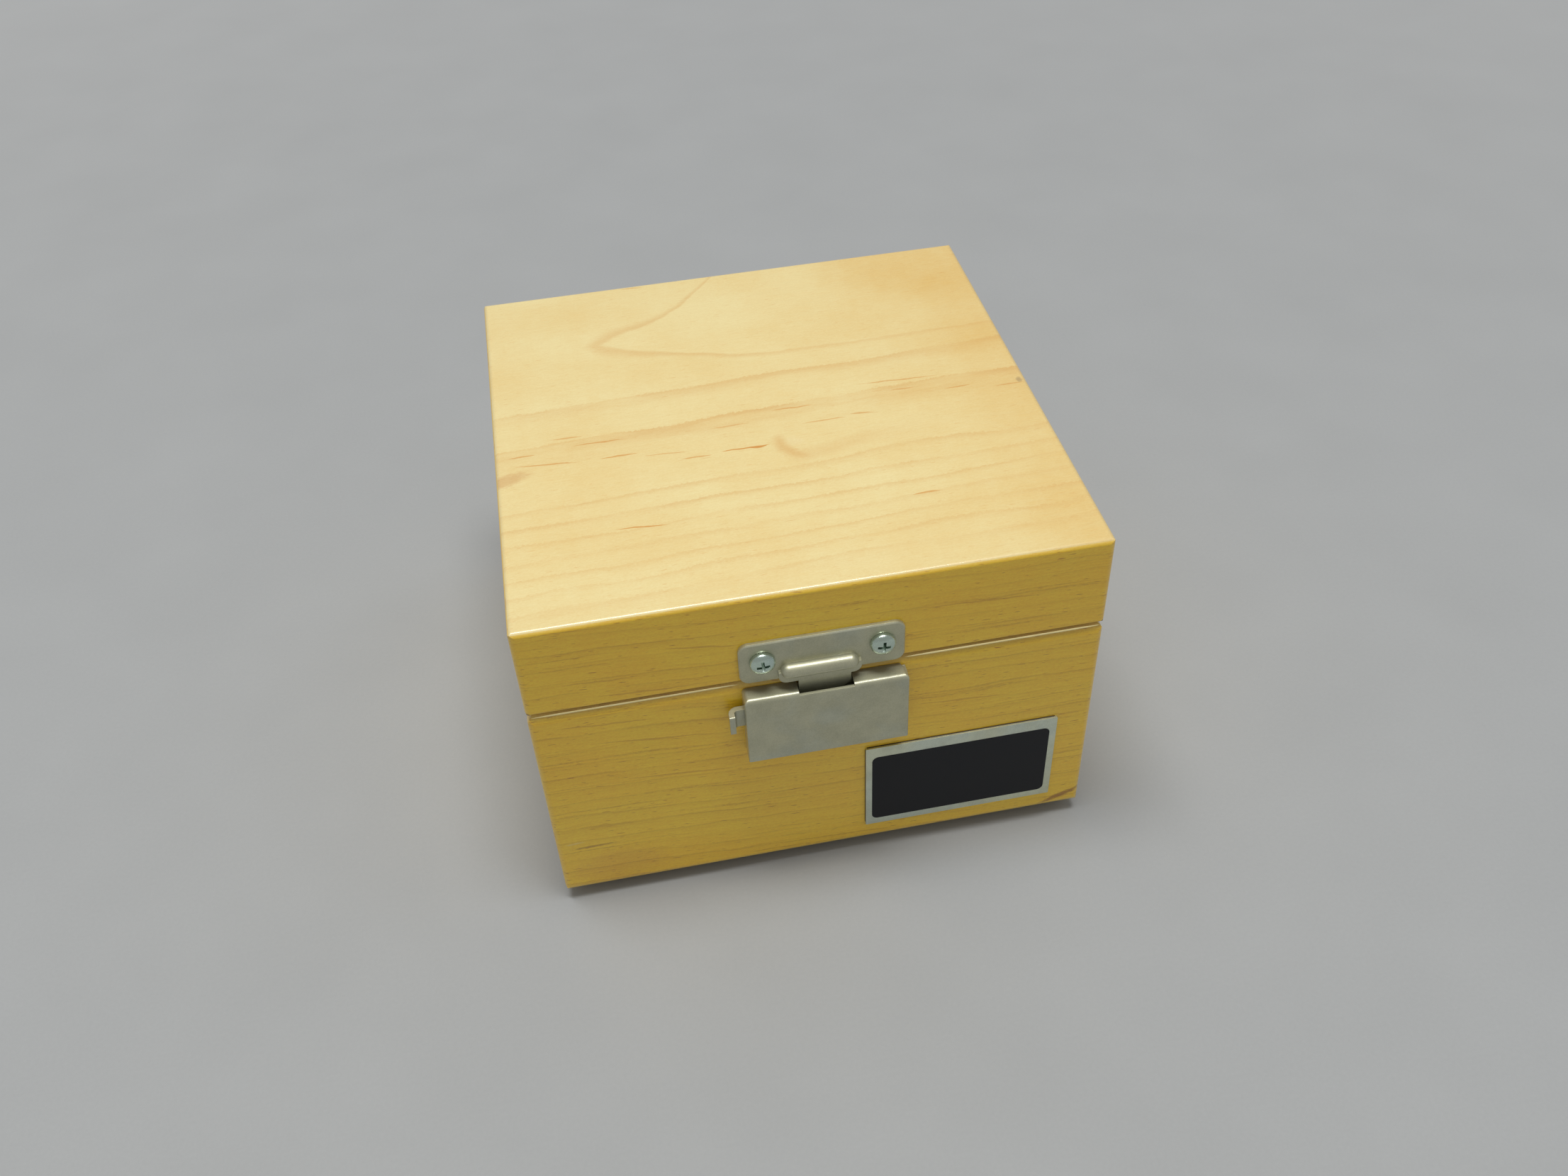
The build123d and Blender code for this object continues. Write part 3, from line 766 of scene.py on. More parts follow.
@dataclass(frozen=True)
class Plywood:
    """The case's plain bottom: rotary-cut birch with wide soft figure."""

    name: str = "birch_plywood"
    pale: Colour = srgb(214, 184, 138)
    dark: Colour = srgb(176, 136, 88)

    def build(self) -> bpy.types.Material:
        """Makes the material.

        Returns:
            The finished material.
        """
        graph = Surface(self.name)
        x, y, z, _ = graph.position()
        wide = graph.noise(graph.combine(x * (1 / 60), y * (1 / 14), z), detail=3)
        bands = graph.noise(graph.combine(x * 0.01, wide * 9.0, 0.0), detail=2)
        fibre = graph.noise(graph.combine(x * (1 / 9), y * (1 / 0.5), z), detail=3)
        colour = graph.mix((fibre * 0.4 + (bands * 0.9 - 0.3)).clamped(), self.pale, self.dark)
        return graph.finish(Base_Color=colour, Roughness=0.62, Normal=graph.bump(fibre, 0.04))


# The lid's growth rings: each one's height in millimetres and its strength.
TOP_RINGS = (
    (-71, 0.4), (-65, 0.5), (-59, 0.55), (-52.5, 0.5), (-46, 0.6),
    (-39, 0.75), (-31.5, 0.7), (-4, 0.85), (12.5, 0.75),
)  # fmt: skip

# Start, end and height of each vessel, then its depth, rise and width where they matter.
TOP_VESSELS = (
    (-73, -65, -7.0), (-55, -39.5, -5.2), (-60.5, -51.5, -1.2, 0.5), (-71, -54, -12.0, 0.6, -0.8),
    (-48, -37, -12.8, 0.7), (-36, -24, -14.8, 0.45, -0.4), (-15, -1, -17.5, 0.85, 0.0, 0.42),
    (-7, -2.2, -17.7, 0.9, 0.0, 0.75), (-26, -17.5, -18.4), (-16, -5, -6.3, 0.4), (2, 14, -2.0),
    (9, 22, -10.0, 0.5), (23, 30, -9.0, 0.55, -0.4), (28, 52, 4.2, 0.55, -0.6), (37, 44, -0.3, 0.5),
    (52, 60, -3.2, 0.55), (66, 75, -5.5, 0.5), (-47, -32.5, -44.4, 0.75, -0.5), (31, 39, -47.8),
    (-33, -26, 74.3, 0.5),
)  # fmt: skip
FRONT_VESSELS = (
    (-66, -48, 86.2, 0.35, -0.6), (-58, -32, 80.1, 0.4, -0.8), (-40, -22, 92.4, 0.4, -1.4),
    (-70, -44, 70.5, 0.4, -1.0), (-62, -28, 62.0, 0.4, -1.8), (-54, -24, 46.5, 0.4, -1.4),
    (26, 58, 92.6, 0.35, -1.0), (24, 52, 57.0, 0.35, -1.0),
)  # fmt: skip
TOP_MARKS = (
    Mark(-74, -17, 9.0, 3.4, srgb(206, 150, 84), 0.45, lean=0.3),
    Mark(5.5, -17.5, 3.2, 2.4, srgb(240, 222, 170), 0.3),
    Mark(74, -4, 1.1, 1.6, srgb(150, 128, 92), 0.5),
)
FRONT_MARKS = (
    Mark(70.5, 8.2, 7.5, 1.3, srgb(150, 84, 30), 0.75, lean=0.38, ragged=0.9),
    Mark(-71, 24.6, 3.4, 0.45, srgb(242, 214, 130), 0.7, lean=0.05),
    Mark(-66, 22.3, 7.0, 0.5, srgb(150, 104, 44), 0.55, lean=0.02, ragged=0.9),
    Mark(24, 64.2, 0.8, 0.9, srgb(236, 196, 60), 0.6, ragged=1.0),
    Mark(-60, 12, 16.0, 9.0, srgb(222, 160, 66), 0.3),
)


class Finishes:
    """Every finish of the case, each made once."""

    def __init__(self) -> None:
        """Makes the materials."""
        # The top's paler, whiter colours are partly a painted sheen: the same maple as the walls, whitened by
        # the overhead light on its lacquer.
        self.top = Maple(
            "maple_top", Cut.ALONG_X_LYING, srgb(242, 225, 165), srgb(231, 195, 117), srgb(216, 160, 78),
            TOP_RINGS, sag=((-80, 0), (-30, -2.2), (20, -4.5), (80, -6.5)), marks=TOP_MARKS,
            vessels=tuple(Vessel(*row) for row in TOP_VESSELS), vessel_stain=srgb(214, 142, 46),
            pore_strength=0.25, ring_strength=0.55, streak_strength=0.0, ripple_mm=1.1, sway_mm=2.5,
            mottle=0.3, shade_tint=(0.8, 0.66, 0.44), seed=1.7, figure=Figure(), outside_mm=0.0,
        ).build()  # fmt: skip
        front = Maple(
            "maple_front", outside_mm=77.3, sag=((-80, 0), (-56, 0.6), (-20, 3), (22, 5), (80, 7)),
            vessels=tuple(Vessel(*row) for row in FRONT_VESSELS), marks=FRONT_MARKS, seed=5.3,
        )  # fmt: skip
        across = Cut.ALONG_Y_STANDING
        self.walls = {
            "front": front.build(),
            "back": Maple("maple_back", outside_mm=76.3, seed=8.1).build(),
            "left": Maple("maple_left", across, sag=((-80, 3), (0, 0), (80, 5)), seed=12.4).build(),
            "right": Maple("maple_right", across, sag=((-80, 6), (10, 2), (80, 0)), seed=15.8).build(),
        }
        # Painted highlight: a pale cream finish for the beads that stand in for the light on the base's rim.
        self.edge = Dull("painted_rim_highlight", srgb(255, 240, 176), srgb(252, 222, 140), 0.34).build()
        self.plywood = Plywood().build()
        self.nickel = Plated("satin_nickel", (0.56, 0.55, 0.38), 0.5, metallic=0.7, coat=0.9).build()
        self.hinge = Plated("hinge_nickel", (0.56, 0.55, 0.46), 0.38, metallic=0.6, coat=0.7).build()
        self.zinc = Plated("bright_zinc", (0.62, 0.74, 0.64), 0.28, stained=0.05, edge_mm=0.06).build()
        self.spring = Plated("spring_wire", (0.45, 0.44, 0.42), 0.3, stained=0.1, edge_mm=0.02).build()
        self.aluminium = Plated(
            "anodised_plate", (0.74, 0.77, 0.6), 0.46, mottle=0.08, stained=0.08, tooth_mm=0.25
        ).build()
        self.print = Dull(
            "printed_field", srgb(15, 16, 20), srgb(32, 34, 40), 0.45, relief_mm=0.004, specular=0.25
        ).build()
        self.plate_dark_line = Dull("plate_dark_line_finish", srgb(58, 46, 34), srgb(96, 80, 54), 0.7).build()
        self.rubber = Dull("foot_rubber", srgb(38, 38, 38), srgb(66, 65, 62), 0.62, relief_mm=0.03).build()
        self.foam = Foam("charcoal_foam", srgb(74, 75, 80), srgb(26, 26, 29)).build()


def dress(node: bpy.types.Object, material: bpy.types.Material) -> None:
    """Gives a CAD node its finish, leaving its mesh as it is.

    Args:
        node: The CAD node's object.
        material: The finish.
    """
    if not node.material_slots:
        node.data.materials.append(material)
    for slot in node.material_slots:
        slot.material = material
    log.info("%s dressed in %s", node.name, material.name)


def to_object(mesh: bmesh.types.BMesh, name: str, material: bpy.types.Material) -> bpy.types.Object:
    """Turns finished mesh code into an object at the origin.

    Args:
        mesh: The mesh, which is freed.
        name: The object's name.
        material: Its finish.

    Returns:
        The object, in the scene.
    """
    data = bpy.data.meshes.new(name)
    mesh.to_mesh(data)
    mesh.free()
    data.materials.append(material)
    made = bpy.data.objects.new(name, data)
    bpy.context.scene.collection.objects.link(made)
    return made


def bake(made: bpy.types.Object) -> None:
    """Replaces an object's modifiers by the mesh that they give.

    Args:
        made: The object.
    """
    view = bpy.context.evaluated_depsgraph_get()
    view.update()
    mesh = bpy.data.meshes.new_from_object(made.evaluated_get(view), depsgraph=view)
    made.modifiers.clear()
    made.data = mesh


def loft(rings: list[list[Vector]], name: str, material: bpy.types.Material) -> bpy.types.Object:
    """Joins rings of as many points each into one solid with flat ends.

    Args:
        rings: The rings, from one end to the other.
        name: The solid's name.
        material: Its finish.

    Returns:
        The solid's object.
    """
    mesh = bmesh.new()
    loops = [[mesh.verts.new(point) for point in ring] for ring in rings]
    for here, there in zip(loops, loops[1:]):
        for turn in range(len(here)):
            after = (turn + 1) % len(here)
            mesh.faces.new((here[turn], here[after], there[after], there[turn]))
    mesh.faces.new(loops[0][::-1])
    mesh.faces.new(loops[-1])
    bmesh.ops.recalc_face_normals(mesh, faces=mesh.faces)
    return to_object(mesh, name, material)


def lathe(outline: list[tuple[float, float]], steps: int) -> bmesh.types.BMesh:
    """Turns a half outline about Z into a closed solid.

    Args:
        outline: Radius and height pairs, from a point on the axis to another one.
        steps: How many sides the solid has.

    Returns:
        The mesh.
    """
    mesh = bmesh.new()
    rings = []
    for radius, height in outline:
        if radius < 1e-7:
            rings.append([mesh.verts.new((0.0, 0.0, height))] * steps)
            continue
        turns = (math.tau * step / steps for step in range(steps))
        rings.append([mesh.verts.new((radius * math.cos(a), radius * math.sin(a), height)) for a in turns])
    for upper, lower in zip(rings, rings[1:]):
        for here in range(steps):
            there = (here + 1) % steps
            corner = (upper[here], lower[here], lower[there], upper[there])
            mesh.faces.new(tuple(dict.fromkeys(corner)))
    return mesh


def loose_boxes(node: bpy.types.Object) -> list[tuple[Vector, Vector]]:
    """The box of each separate solid in a CAD node, read from a merged copy.

    Args:
        node: The CAD node's object.

    Returns:
        Lowest and highest corners, in order of X and then Y.
    """
    mesh = bmesh.new()
    mesh.from_mesh(node.data)
    bmesh.ops.remove_doubles(mesh, verts=mesh.verts, dist=1e-6)
    left = set(mesh.verts)
    boxes = []
    while left:
        group = [left.pop()]
        for vert in group:
            others = {edge.other_vert(vert) for edge in vert.link_edges} & left
            left -= others
            group += others
        low, high = (Vector([pick(vert.co[i] for vert in group) for i in range(3)]) for pick in (min, max))
        boxes.append((low, high))
    mesh.free()
    return sorted(boxes, key=lambda corners: (round(corners[0].x, 5), corners[0].y))


@dataclass
class SubAssembly:
    """What every sub-assembly is built from: the finishes, and the CAD nodes by name."""

    finishes: Finishes
    nodes: dict[str, bpy.types.Object]


@dataclass
class WoodenBox(SubAssembly):
    """The mitred walls, the top and the plywood bottom, which stay as CAD made them."""

    bead_start_mm: float = 21.9
    bead_end_mm: float = 75.0
    bead_out_mm: float = 0.24
    slim_out_mm: float = 0.12
    bead_half_mm: float = 0.3
    bead_drop_mm: float = 0.33
    bead_in_mm: float = 0.02
    bead_taper: float = 8.0
    bead_wave: float = 0.3
    bead_steps: int = 60
    bead_turns: int = 12

    def build(self) -> None:
        """Dresses each board in the wood that it is cut from."""
        for side, wood in self.finishes.walls.items():
            for half in ("base", "lid"):
                dress(self.nodes[f"{half}_{side}_panel"], wood)
        dress(self.nodes["lid_top_panel"], self.finishes.top)
        dress(self.nodes["base_bottom_panel"], self.finishes.plywood)
        # Painted highlight: pale beads that stand in for the light caught by the base's rim.
        self.rim_highlight_bead("rim_bead_left", -self.bead_end_mm, -self.bead_start_mm, self.slim_out_mm)
        self.rim_highlight_bead("rim_bead_right", self.bead_start_mm, self.bead_end_mm, self.bead_out_mm)

    def rim_highlight_bead(self, name: str, left: float, right: float, out_mm: float) -> None:
        """A thin pale bead on the front edge of the base's rim, beside the catch: a painted highlight that
        stands in for the light the rim catches.

        Args:
            name: Its name.
            left: Where it starts, in millimetres.
            right: Where it ends.
            out_mm: How far it stands out.
        """
        low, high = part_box("base_front_panel")
        turns = [math.tau * turn / self.bead_turns for turn in range(self.bead_turns)]
        rings = []
        for step in range(self.bead_steps + 1):
            share = step / self.bead_steps
            full = min(1.0, self.bead_taper * min(share, 1 - share)) ** 0.5
            along = left + (right - left) * share
            wave = 0.85 + self.bead_wave * noise.noise(Vector((along, 0.0, 1.0)) * 0.3)
            out, up = out_mm * max(full, 0.02) * wave * MM, self.bead_half_mm * max(full, 0.05) * MM
            middle = Vector((along * MM, low.y + self.bead_in_mm * MM, high.z - self.bead_drop_mm * MM))
            rings.append([middle + Vector((0, -out * math.cos(a), up * math.sin(a))) for a in turns])
        bead = loft(rings, name, self.finishes.edge)
        bead.data.shade_smooth()
        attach(bead, "base")


class Hardware(SubAssembly):
    """The keeper, the side-slide catch, the hinges and the feet, which stay as CAD made them."""

    def build(self) -> None:
        """Dresses each piece."""
        for name in ("keeper_plate", "latch_cover", "latch_base_plate", "latch_bolt", "latch_guide_rivets"):
            dress(self.nodes[name], self.finishes.nickel)
        for side in ("left", "right"):
            for piece in ("base_leaf", "lid_leaf", "pin"):
                dress(self.nodes[f"hinge_{side}_{piece}"], self.finishes.hinge)
            for end in ("front", "back"):
                dress(self.nodes[f"foot_{end}_{side}"], self.finishes.rubber)


class Head(Enum):
    """How a screw's head stands on its seat."""

    PAN = "pan"
    FLAT = "flat"


@dataclass
class Screws(SubAssembly):
    """One row of cross-recess wood screws, repeated by Geometry Nodes."""

    node: str
    head: Head
    out: Vector
    seat_share: float = 0.0
    sides: int = 40
    turn_deg: tuple[float, float] = (0.0, 90.0)
    shank_share: float = 0.5
    thread_mm: float = 0.3
    pitch_mm: float = 1.15
    arm_mm: float = 0.85
    cross_reach: float = 0.56
    cross_depth: float = 0.6
    # The recess's length and width at its bottom and at its mouth, as shares of its reach and its arm.
    cross_foot: tuple[float, float] = (0.3, 0.4)
    cross_mouth: tuple[float, float] = (1.08, 1.05)

    def outline(self, radius: float, top: float, tip: float) -> list[tuple[float, float]]:
        """The screw's half outline, from the middle of its head to its point.

        Args:
            radius: The head's.
            top: How far the head stands above its seat.
            tip: The point's height, under zero.

        Returns:
            Radius and height pairs in metres.
        """
        shank, pitch = self.shank_share * radius, self.pitch_mm * MM
        if self.head is Head.PAN:
            arc = [math.radians(angle) for angle in range(0, 91, 10)]
            points = [(radius * math.sin(a) ** 0.85, top * (0.32 + 0.68 * math.cos(a))) for a in arc]
            points += [(radius, 0.12 * top), (0.97 * radius, 0.0), (shank, 0.0)]
        else:
            points = [(0.0, 0.0), (0.94 * radius, 0.0), (radius, -0.05 * radius), (shank, -0.55 * radius)]
        turns = int(-tip * 0.7 / pitch)
        start = points[-1][1] - pitch
        for number in range(turns):
            height = start - number * pitch
            narrow = 1 - 0.55 * max(0.0, number / turns - 0.4)
            root = (shank - self.thread_mm * MM) * narrow
            points += [(root, height), (shank * narrow, height - 0.35 * pitch), (root, height - 0.7 * pitch)]
        points.append((0.0, tip))
        return points

    def blade(self, radius: float, top: float, turn: float) -> bpy.types.Object:
        """One blade of the cross recess as a solid that narrows as it goes down.

        Args:
            radius: The head's.
            top: The head's highest point.
            turn: Its direction in degrees.

        Returns:
            The blade's object.
        """
        mesh = bmesh.new()
        reach, deep, half = self.cross_reach * radius, self.cross_depth * radius, self.arm_mm * MM / 2
        for vert in bmesh.ops.create_cube(mesh, size=2.0)["verts"]:
            low = vert.co.z < 0
            long, wide = self.cross_foot if low else self.cross_mouth
            vert.co.x *= long * reach
            vert.co.y *= wide * half
            vert.co.z = top - deep if low else top + 0.15 * deep
        bmesh.ops.rotate(mesh, verts=mesh.verts, matrix=Matrix.Rotation(math.radians(turn), 3, "Z"))
        return to_object(mesh, f"{self.node}_blade_{turn:.0f}", self.finishes.zinc)

    def blank(self, radius: float, top: float, tip: float) -> bpy.types.Object:
        """One finished screw that stands on the origin, head up.

        Args:
            radius: The head's.
            top: How far the head stands above its seat.
            tip: The point's height, under zero.

        Returns:
            The screw's object.
        """
        mesh = lathe(self.outline(radius, top, tip), self.sides)
        screw = to_object(mesh, f"{self.node}_one", self.finishes.zinc)
        blades = [self.blade(radius, top, turn) for turn in (0.0, 90.0)]
        for blade in blades:
            cut = screw.modifiers.new(blade.name, "BOOLEAN")
            cut.operation, cut.solver, cut.object = "DIFFERENCE", "EXACT", blade
        bake(screw)
        for blade in blades:
            bpy.data.objects.remove(blade)
        return screw

    def recipe(self) -> tuple[Recipe, Term]:
        """The Geometry Nodes that put a screw on every point and turn each by chance.

        Returns:
            The tree, and the row that it makes.
        """
        kinds = {"Screw": "Object", "Head Faces": "Vector", "Least Turn": "Float", "Most Turn": "Float"}
        tree = Recipe(f"{self.node}_row", kinds)
        given, term = tree.given, tree.term
        ends = {2: given["Least Turn"], 3: given["Most Turn"], "Seed": len(self.node)}
        chance = term("FunctionNodeRandomValue", ends, 1, data_type="FLOAT")
        turn = term("FunctionNodeAxisAngleToRotation", {"Axis": (0, 0, 1), "Angle": chance})
        aim = term("FunctionNodeAlignRotationToVector", {"Vector": given["Head Faces"]}, axis="Z")
        both = {"Rotation": aim, "Rotate By": turn}
        place = {
            "Points": given["Geometry"],
            "Instance": term("GeometryNodeObjectInfo", {"Object": given["Screw"]}, "Geometry"),
            "Rotation": term("FunctionNodeRotateRotation", both, rotation_space="LOCAL"),
        }
        return tree, term("GeometryNodeInstanceOnPoints", place)

    def build(self, body: str) -> None:
        """Makes the row and puts it in the CAD node's place.

        Args:
            body: The body that it rides on.
        """
        boxes = loose_boxes(self.nodes[self.node])
        size = boxes[0][1] - boxes[0][0]
        radius = size[0 if abs(self.out.x) < 0.5 else 1] / 2
        length = abs(size.dot(self.out))
        top = self.seat_share * length
        screw = self.blank(radius, top, top - length)
        mesh = bmesh.new()
        for low, high in boxes:
            mesh.verts.new((low + high) / 2 + self.out * (length / 2 - top))
        row = to_object(mesh, self.node.replace("screws", "screw_row"), self.finishes.zinc)
        tree, shape = self.recipe()
        least, most = (math.radians(angle) for angle in self.turn_deg)
        values = {"Screw": screw, "Head Faces": list(self.out), "Least Turn": least, "Most Turn": most}
        tree.apply(row, shape, values | {"Finish": self.finishes.zinc})
        bpy.data.objects.remove(screw)
        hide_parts(self.node)
        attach(row, body)
        log.info("%s: %d screws", row.name, len(boxes))


@dataclass
class ReturnSpring(SubAssembly):
    """The catch's coil spring, wound by Geometry Nodes."""

    turns: float = 7.0
    wire_mm: float = 0.225
    travel_mm: float = 2.4
    steps_each_turn: int = 40
    wire_sides: int = 14

    def recipe(self) -> tuple[Recipe, Term]:
        """The Geometry Nodes that sweep a wire along a helix.

        Returns:
            The tree, and the spring that it makes.
        """
        kinds = dict.fromkeys(("Turns", "Coil Radius", "Wire Radius", "Length"), "Float")
        tree = Recipe("spring_winding", {**kinds, "Place": "Vector"})
        given, term = tree.given, tree.term
        winding = {
            "Resolution": self.steps_each_turn,
            "Rotations": given["Turns"],
            "Start Radius": given["Coil Radius"],
            "End Radius": given["Coil Radius"],
            "Height": given["Length"],
        }
        ring = {"Resolution": self.wire_sides, "Radius": given["Wire Radius"]}
        sweep = {
            "Curve": term("GeometryNodeCurveSpiral", winding),
            "Profile Curve": term("GeometryNodeCurvePrimitiveCircle", ring, "Curve"),
            "Fill Caps": True,
        }
        lying = {
            "Geometry": term("GeometryNodeCurveToMesh", sweep),
            "Translation": given["Place"],
            "Rotation": (0.0, math.radians(90), 0.0),
        }
        return tree, term("GeometryNodeTransform", lying)

    def build(self) -> None:
        """Winds the spring in its CAD node's place."""
        low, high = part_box("latch_spring")
        wire = self.wire_mm * MM
        made = to_object(bmesh.new(), "return_spring", self.finishes.spring)
        tree, shape = self.recipe()
        values = {
            "Turns": self.turns,
            "Coil Radius": (high.z - low.z) / 2 - wire,
            "Wire Radius": wire,
            "Length": high.x - low.x - 2 * wire,
            "Place": (low.x + wire, (low.y + high.y) / 2, (low.z + high.z) / 2),
            "Finish": self.finishes.spring,
        }
        tree.apply(made, shape, values)
        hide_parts("latch_spring")
        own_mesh(made)
        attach(made, "base")
        log.info("return_spring wound")


@dataclass
class Nameplate(SubAssembly):
    """The thin plate at the lower right, with a plain dark field and a thin dark slab behind it that shows as a
    dark line round its edge.
    """

    inset_mm: tuple[float, float, float, float] = (1.8, 1.95, 2.3, 3.85)
    field_corner_mm: float = 1.8
    field_up_mm: float = 0.04
    field_in_mm: float = 0.1
    dark_line_over_mm: float = 0.1
    dark_line_depth_mm: float = 0.28
    dark_line_corner_mm: float = 0.9
    corner_steps: int = 8

    def slab(
        self, name: str, low: Vector, high: Vector, corner_mm: float, material: bpy.types.Material
    ) -> None:
        """A thin rounded slab that faces the front.

        Args:
            name: Its name.
            low: Its lowest corner.
            high: Its highest corner.
            corner_mm: The radius of its corners.
            material: Its finish.
        """
        corner = corner_mm * MM
        left, right, under, over = low.x + corner, high.x - corner, low.z + corner, high.z - corner
        ring = []
        for quarter, (x, z) in enumerate(((right, over), (left, over), (left, under), (right, under))):
            for step in range(self.corner_steps + 1):
                angle = math.radians(90) * (quarter + step / self.corner_steps)
                ring.append((x + corner * math.cos(angle), z + corner * math.sin(angle)))
        faces = [[Vector((x, y, z)) for x, z in ring] for y in (low.y, high.y)]
        slab = loft(faces, name, material)
        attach(slab, "base")

    def build(self) -> None:
        """Dresses the plate and lays the field on it."""
        dress(self.nodes["nameplate"], self.finishes.aluminium)
        low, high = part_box("nameplate")
        left, right, bottom, top = (size * MM for size in self.inset_mm)
        near = Vector((low.x + left, low.y - self.field_up_mm * MM, low.z + bottom))
        far = Vector((high.x - right, low.y + self.field_in_mm * MM, high.z - top))
        self.slab("nameplate_field", near, far, self.field_corner_mm, self.finishes.print)
        # A thin dark slab behind the plate, a little larger than it, which shows as a dark line round its edge.
        over = self.dark_line_over_mm * MM
        near = Vector((low.x - over, high.y - self.dark_line_depth_mm * MM, low.z + over))
        far = Vector((high.x - over, high.y, high.z + over))
        self.slab("nameplate_glue", near, far, self.dark_line_corner_mm, self.finishes.plate_dark_line)
        log.info("nameplate with a plain field")


@dataclass
class SoftLining(SubAssembly):
    """The foam block with its pocket and the lid's pad, cut a little unevenly as foam is."""

    voxel_mm: float = 1.3
    ripple_mm: float = 0.22
    long_wave_mm: float = 7.0
    short_wave_mm: float = 2.6

    def cut_foam(self, node: str, name: str, body: str) -> None:
        """Makes one piece of foam in the space that its CAD solid holds.

        Args:
            node: The CAD node.
            name: The new piece's name.
            body: The body that it rides on.
        """
        mesh = bmesh.new()
        mesh.from_mesh(self.nodes[node].data)
        bmesh.ops.remove_doubles(mesh, verts=mesh.verts, dist=1e-6)
        made = to_object(mesh, name, self.finishes.foam)
        remesh = made.modifiers.new("cells", "REMESH")
        remesh.mode, remesh.voxel_size = "VOXEL", self.voxel_mm * MM
        relax = made.modifiers.new("worn edges", "SMOOTH")
        relax.factor, relax.iterations = 0.5, 3
        bake(made)
        vertices = made.data.vertices
        for vert, (place, normal) in zip(vertices, [(vert.co.copy(), vert.normal.copy()) for vert in vertices]):
            wave = noise.noise(place / (self.long_wave_mm * MM))
            wave += 0.6 * noise.noise(place / (self.short_wave_mm * MM))
            vert.co = place - normal * (0.5 + 0.5 * wave) * self.ripple_mm * MM
        made.data.materials.clear()
        made.data.materials.append(self.finishes.foam)
        made.data.shade_smooth()
        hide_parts(node)
        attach(made, body)
        log.info("%s cut from foam, %d faces", name, len(made.data.polygons))

    def build(self) -> None:
        """Makes the block and the pad."""
        self.cut_foam("base_foam_insert", "foam_block", "base")
        self.cut_foam("lid_foam_pad", "lid_pad", "lid")


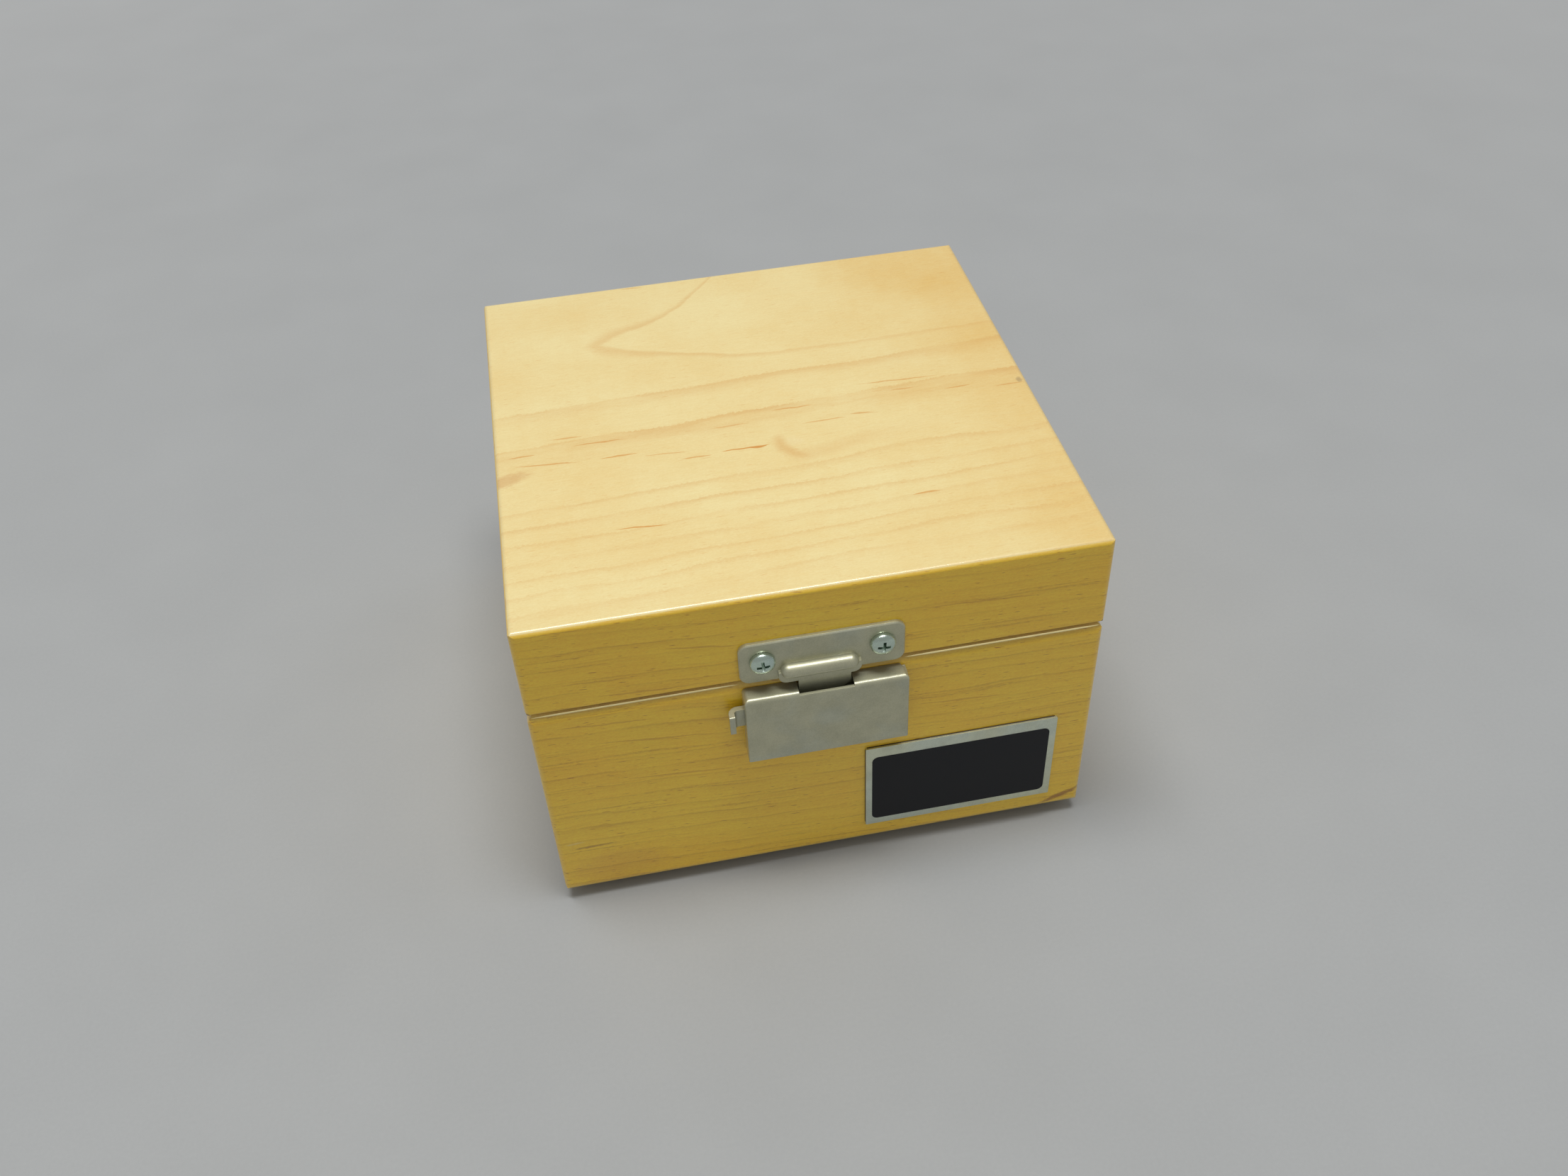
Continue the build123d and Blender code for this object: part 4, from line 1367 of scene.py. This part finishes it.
@dataclass
class Studio:
    """A plain grey floor, one soft lamp and the photograph's camera."""

    camera_place: Vector = field(default_factory=lambda: Vector((-0.04841, -0.32969, 0.3417)))
    camera_aim: Vector = field(default_factory=lambda: Vector((0.00092, -0.01499, 0.05)))
    roll_deg: float = 2.945
    focal_px: float = 2015.5
    lamp_place: Vector = field(default_factory=lambda: Vector((-0.05, -0.085, 1.36)))
    lamp_aim: Vector = field(default_factory=lambda: Vector((0, 0, 0.05)))
    lamp_size: tuple[float, float] = (0.8, 0.3)
    lamp_watts: float = 12.6
    floor_colour: Colour = srgb(172, 174, 174)
    floor_radius: float = 6.0
    sky: float = 0.4
    backdrop: float = 0.42
    far_floor: float = 0.24
    far_mm: tuple[float, float] = (60.0, 1500.0)

    def camera(self) -> None:
        """Puts the camera where the photograph was taken from."""
        data = bpy.data.cameras.new("photo_camera")
        data.sensor_width = SENSOR_MM
        data.lens = SENSOR_MM * self.focal_px / PHOTO_WIDTH_PX
        data.clip_start = 0.01
        camera = bpy.data.objects.new("photo_camera", data)
        bpy.context.scene.collection.objects.link(camera)
        aim = (self.camera_aim - self.camera_place).to_track_quat("-Z", "Y")
        turn = aim @ Quaternion((0, 0, 1), -math.radians(self.roll_deg))
        camera.matrix_world = Matrix.Translation(self.camera_place) @ turn.to_matrix().to_4x4()
        bpy.context.scene.camera = camera

    def floor(self) -> None:
        """Lays the floor, which is a little paler far away."""
        mesh = bmesh.new()
        bmesh.ops.create_circle(mesh, cap_ends=True, radius=self.floor_radius, segments=96)
        graph = Surface("floor_card")
        x, y, _, place = graph.position()
        tooth = graph.noise(place, scale=0.9, detail=4, rough=0.7)
        cloud = graph.noise(place, scale=0.02, detail=3)
        darker, lighter = dimmed(self.floor_colour, 0.9), dimmed(self.floor_colour, 1.1)
        paler = ((x * x + y * y) ** 0.5).smooth(*self.far_mm, 0.0, self.far_floor) * graph.seen()
        card = graph.finish(
            Base_Color=graph.mix(tooth * 0.5 + cloud * 0.5, darker, lighter),
            Roughness=0.9,
            Specular_IOR_Level=0.2,
            Emission_Strength=paler,
        )
        to_object(mesh, "floor", card)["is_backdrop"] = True

    def light(self) -> None:
        """Hangs the lamp and sets the room's own light."""
        data = bpy.data.lights.new("overhead", "AREA")
        data.shape, data.energy = "RECTANGLE", self.lamp_watts
        data.size, data.size_y = self.lamp_size
        lamp = bpy.data.objects.new("overhead", data)
        lamp.rotation_euler = (self.lamp_aim - self.lamp_place).to_track_quat("-Z", "Y").to_euler()
        lamp.location = self.lamp_place
        bpy.context.scene.collection.objects.link(lamp)
        world = bpy.data.worlds.new("room")
        world.use_nodes = True
        room = Graph(world.node_tree)
        levels = {"Value": room.seen(), "To Min": self.sky, "To Max": self.backdrop}
        strength = room.term("ShaderNodeMapRange", levels)
        background = room.term("ShaderNodeBackground", {"Strength": strength})
        room.add("ShaderNodeOutputWorld", {"Surface": background})
        bpy.context.scene.world = world
        bpy.context.scene.view_settings.view_transform = "Standard"

    def build(self) -> None:
        """Sets up the camera, the floor and the lamp."""
        self.camera()
        self.floor()
        self.light()
        log.info("studio ready")


def corners(box: tuple[Vector, Vector]) -> list[list[float]]:
    """A box as plain lists of numbers."""
    return [list(corner) for corner in box]


def main() -> None:
    """Builds the looks piece by piece around the frame."""
    logging.basicConfig(level=logging.INFO, format="%(name)s: %(message)s")
    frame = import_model()
    cad_box = corners(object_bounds())
    Studio().build()
    stock = Finishes(), frame["nodes"]
    WoodenBox(*stock).build()
    Hardware(*stock).build()
    front, back, down = Vector((0, -1, 0)), Vector((0, 1, 0)), Vector((0, 0, -1))
    Screws(*stock, "keeper_screws", Head.PAN, front, seat_share=0.21, turn_deg=(-7, 7)).build("lid")
    Screws(*stock, "latch_plate_screws", Head.FLAT, front).build("base")
    Screws(*stock, "hinge_base_screws", Head.FLAT, back).build("base")
    Screws(*stock, "hinge_lid_screws", Head.FLAT, back).build("lid")
    Screws(*stock, "foot_screws", Head.PAN, down, seat_share=0.185).build("base")
    ReturnSpring(*stock).build()
    Nameplate(*stock).build()
    SoftLining(*stock).build()
    {"cad": cad_box, "visual": corners(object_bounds())}


if __name__ == "__main__":
    main()
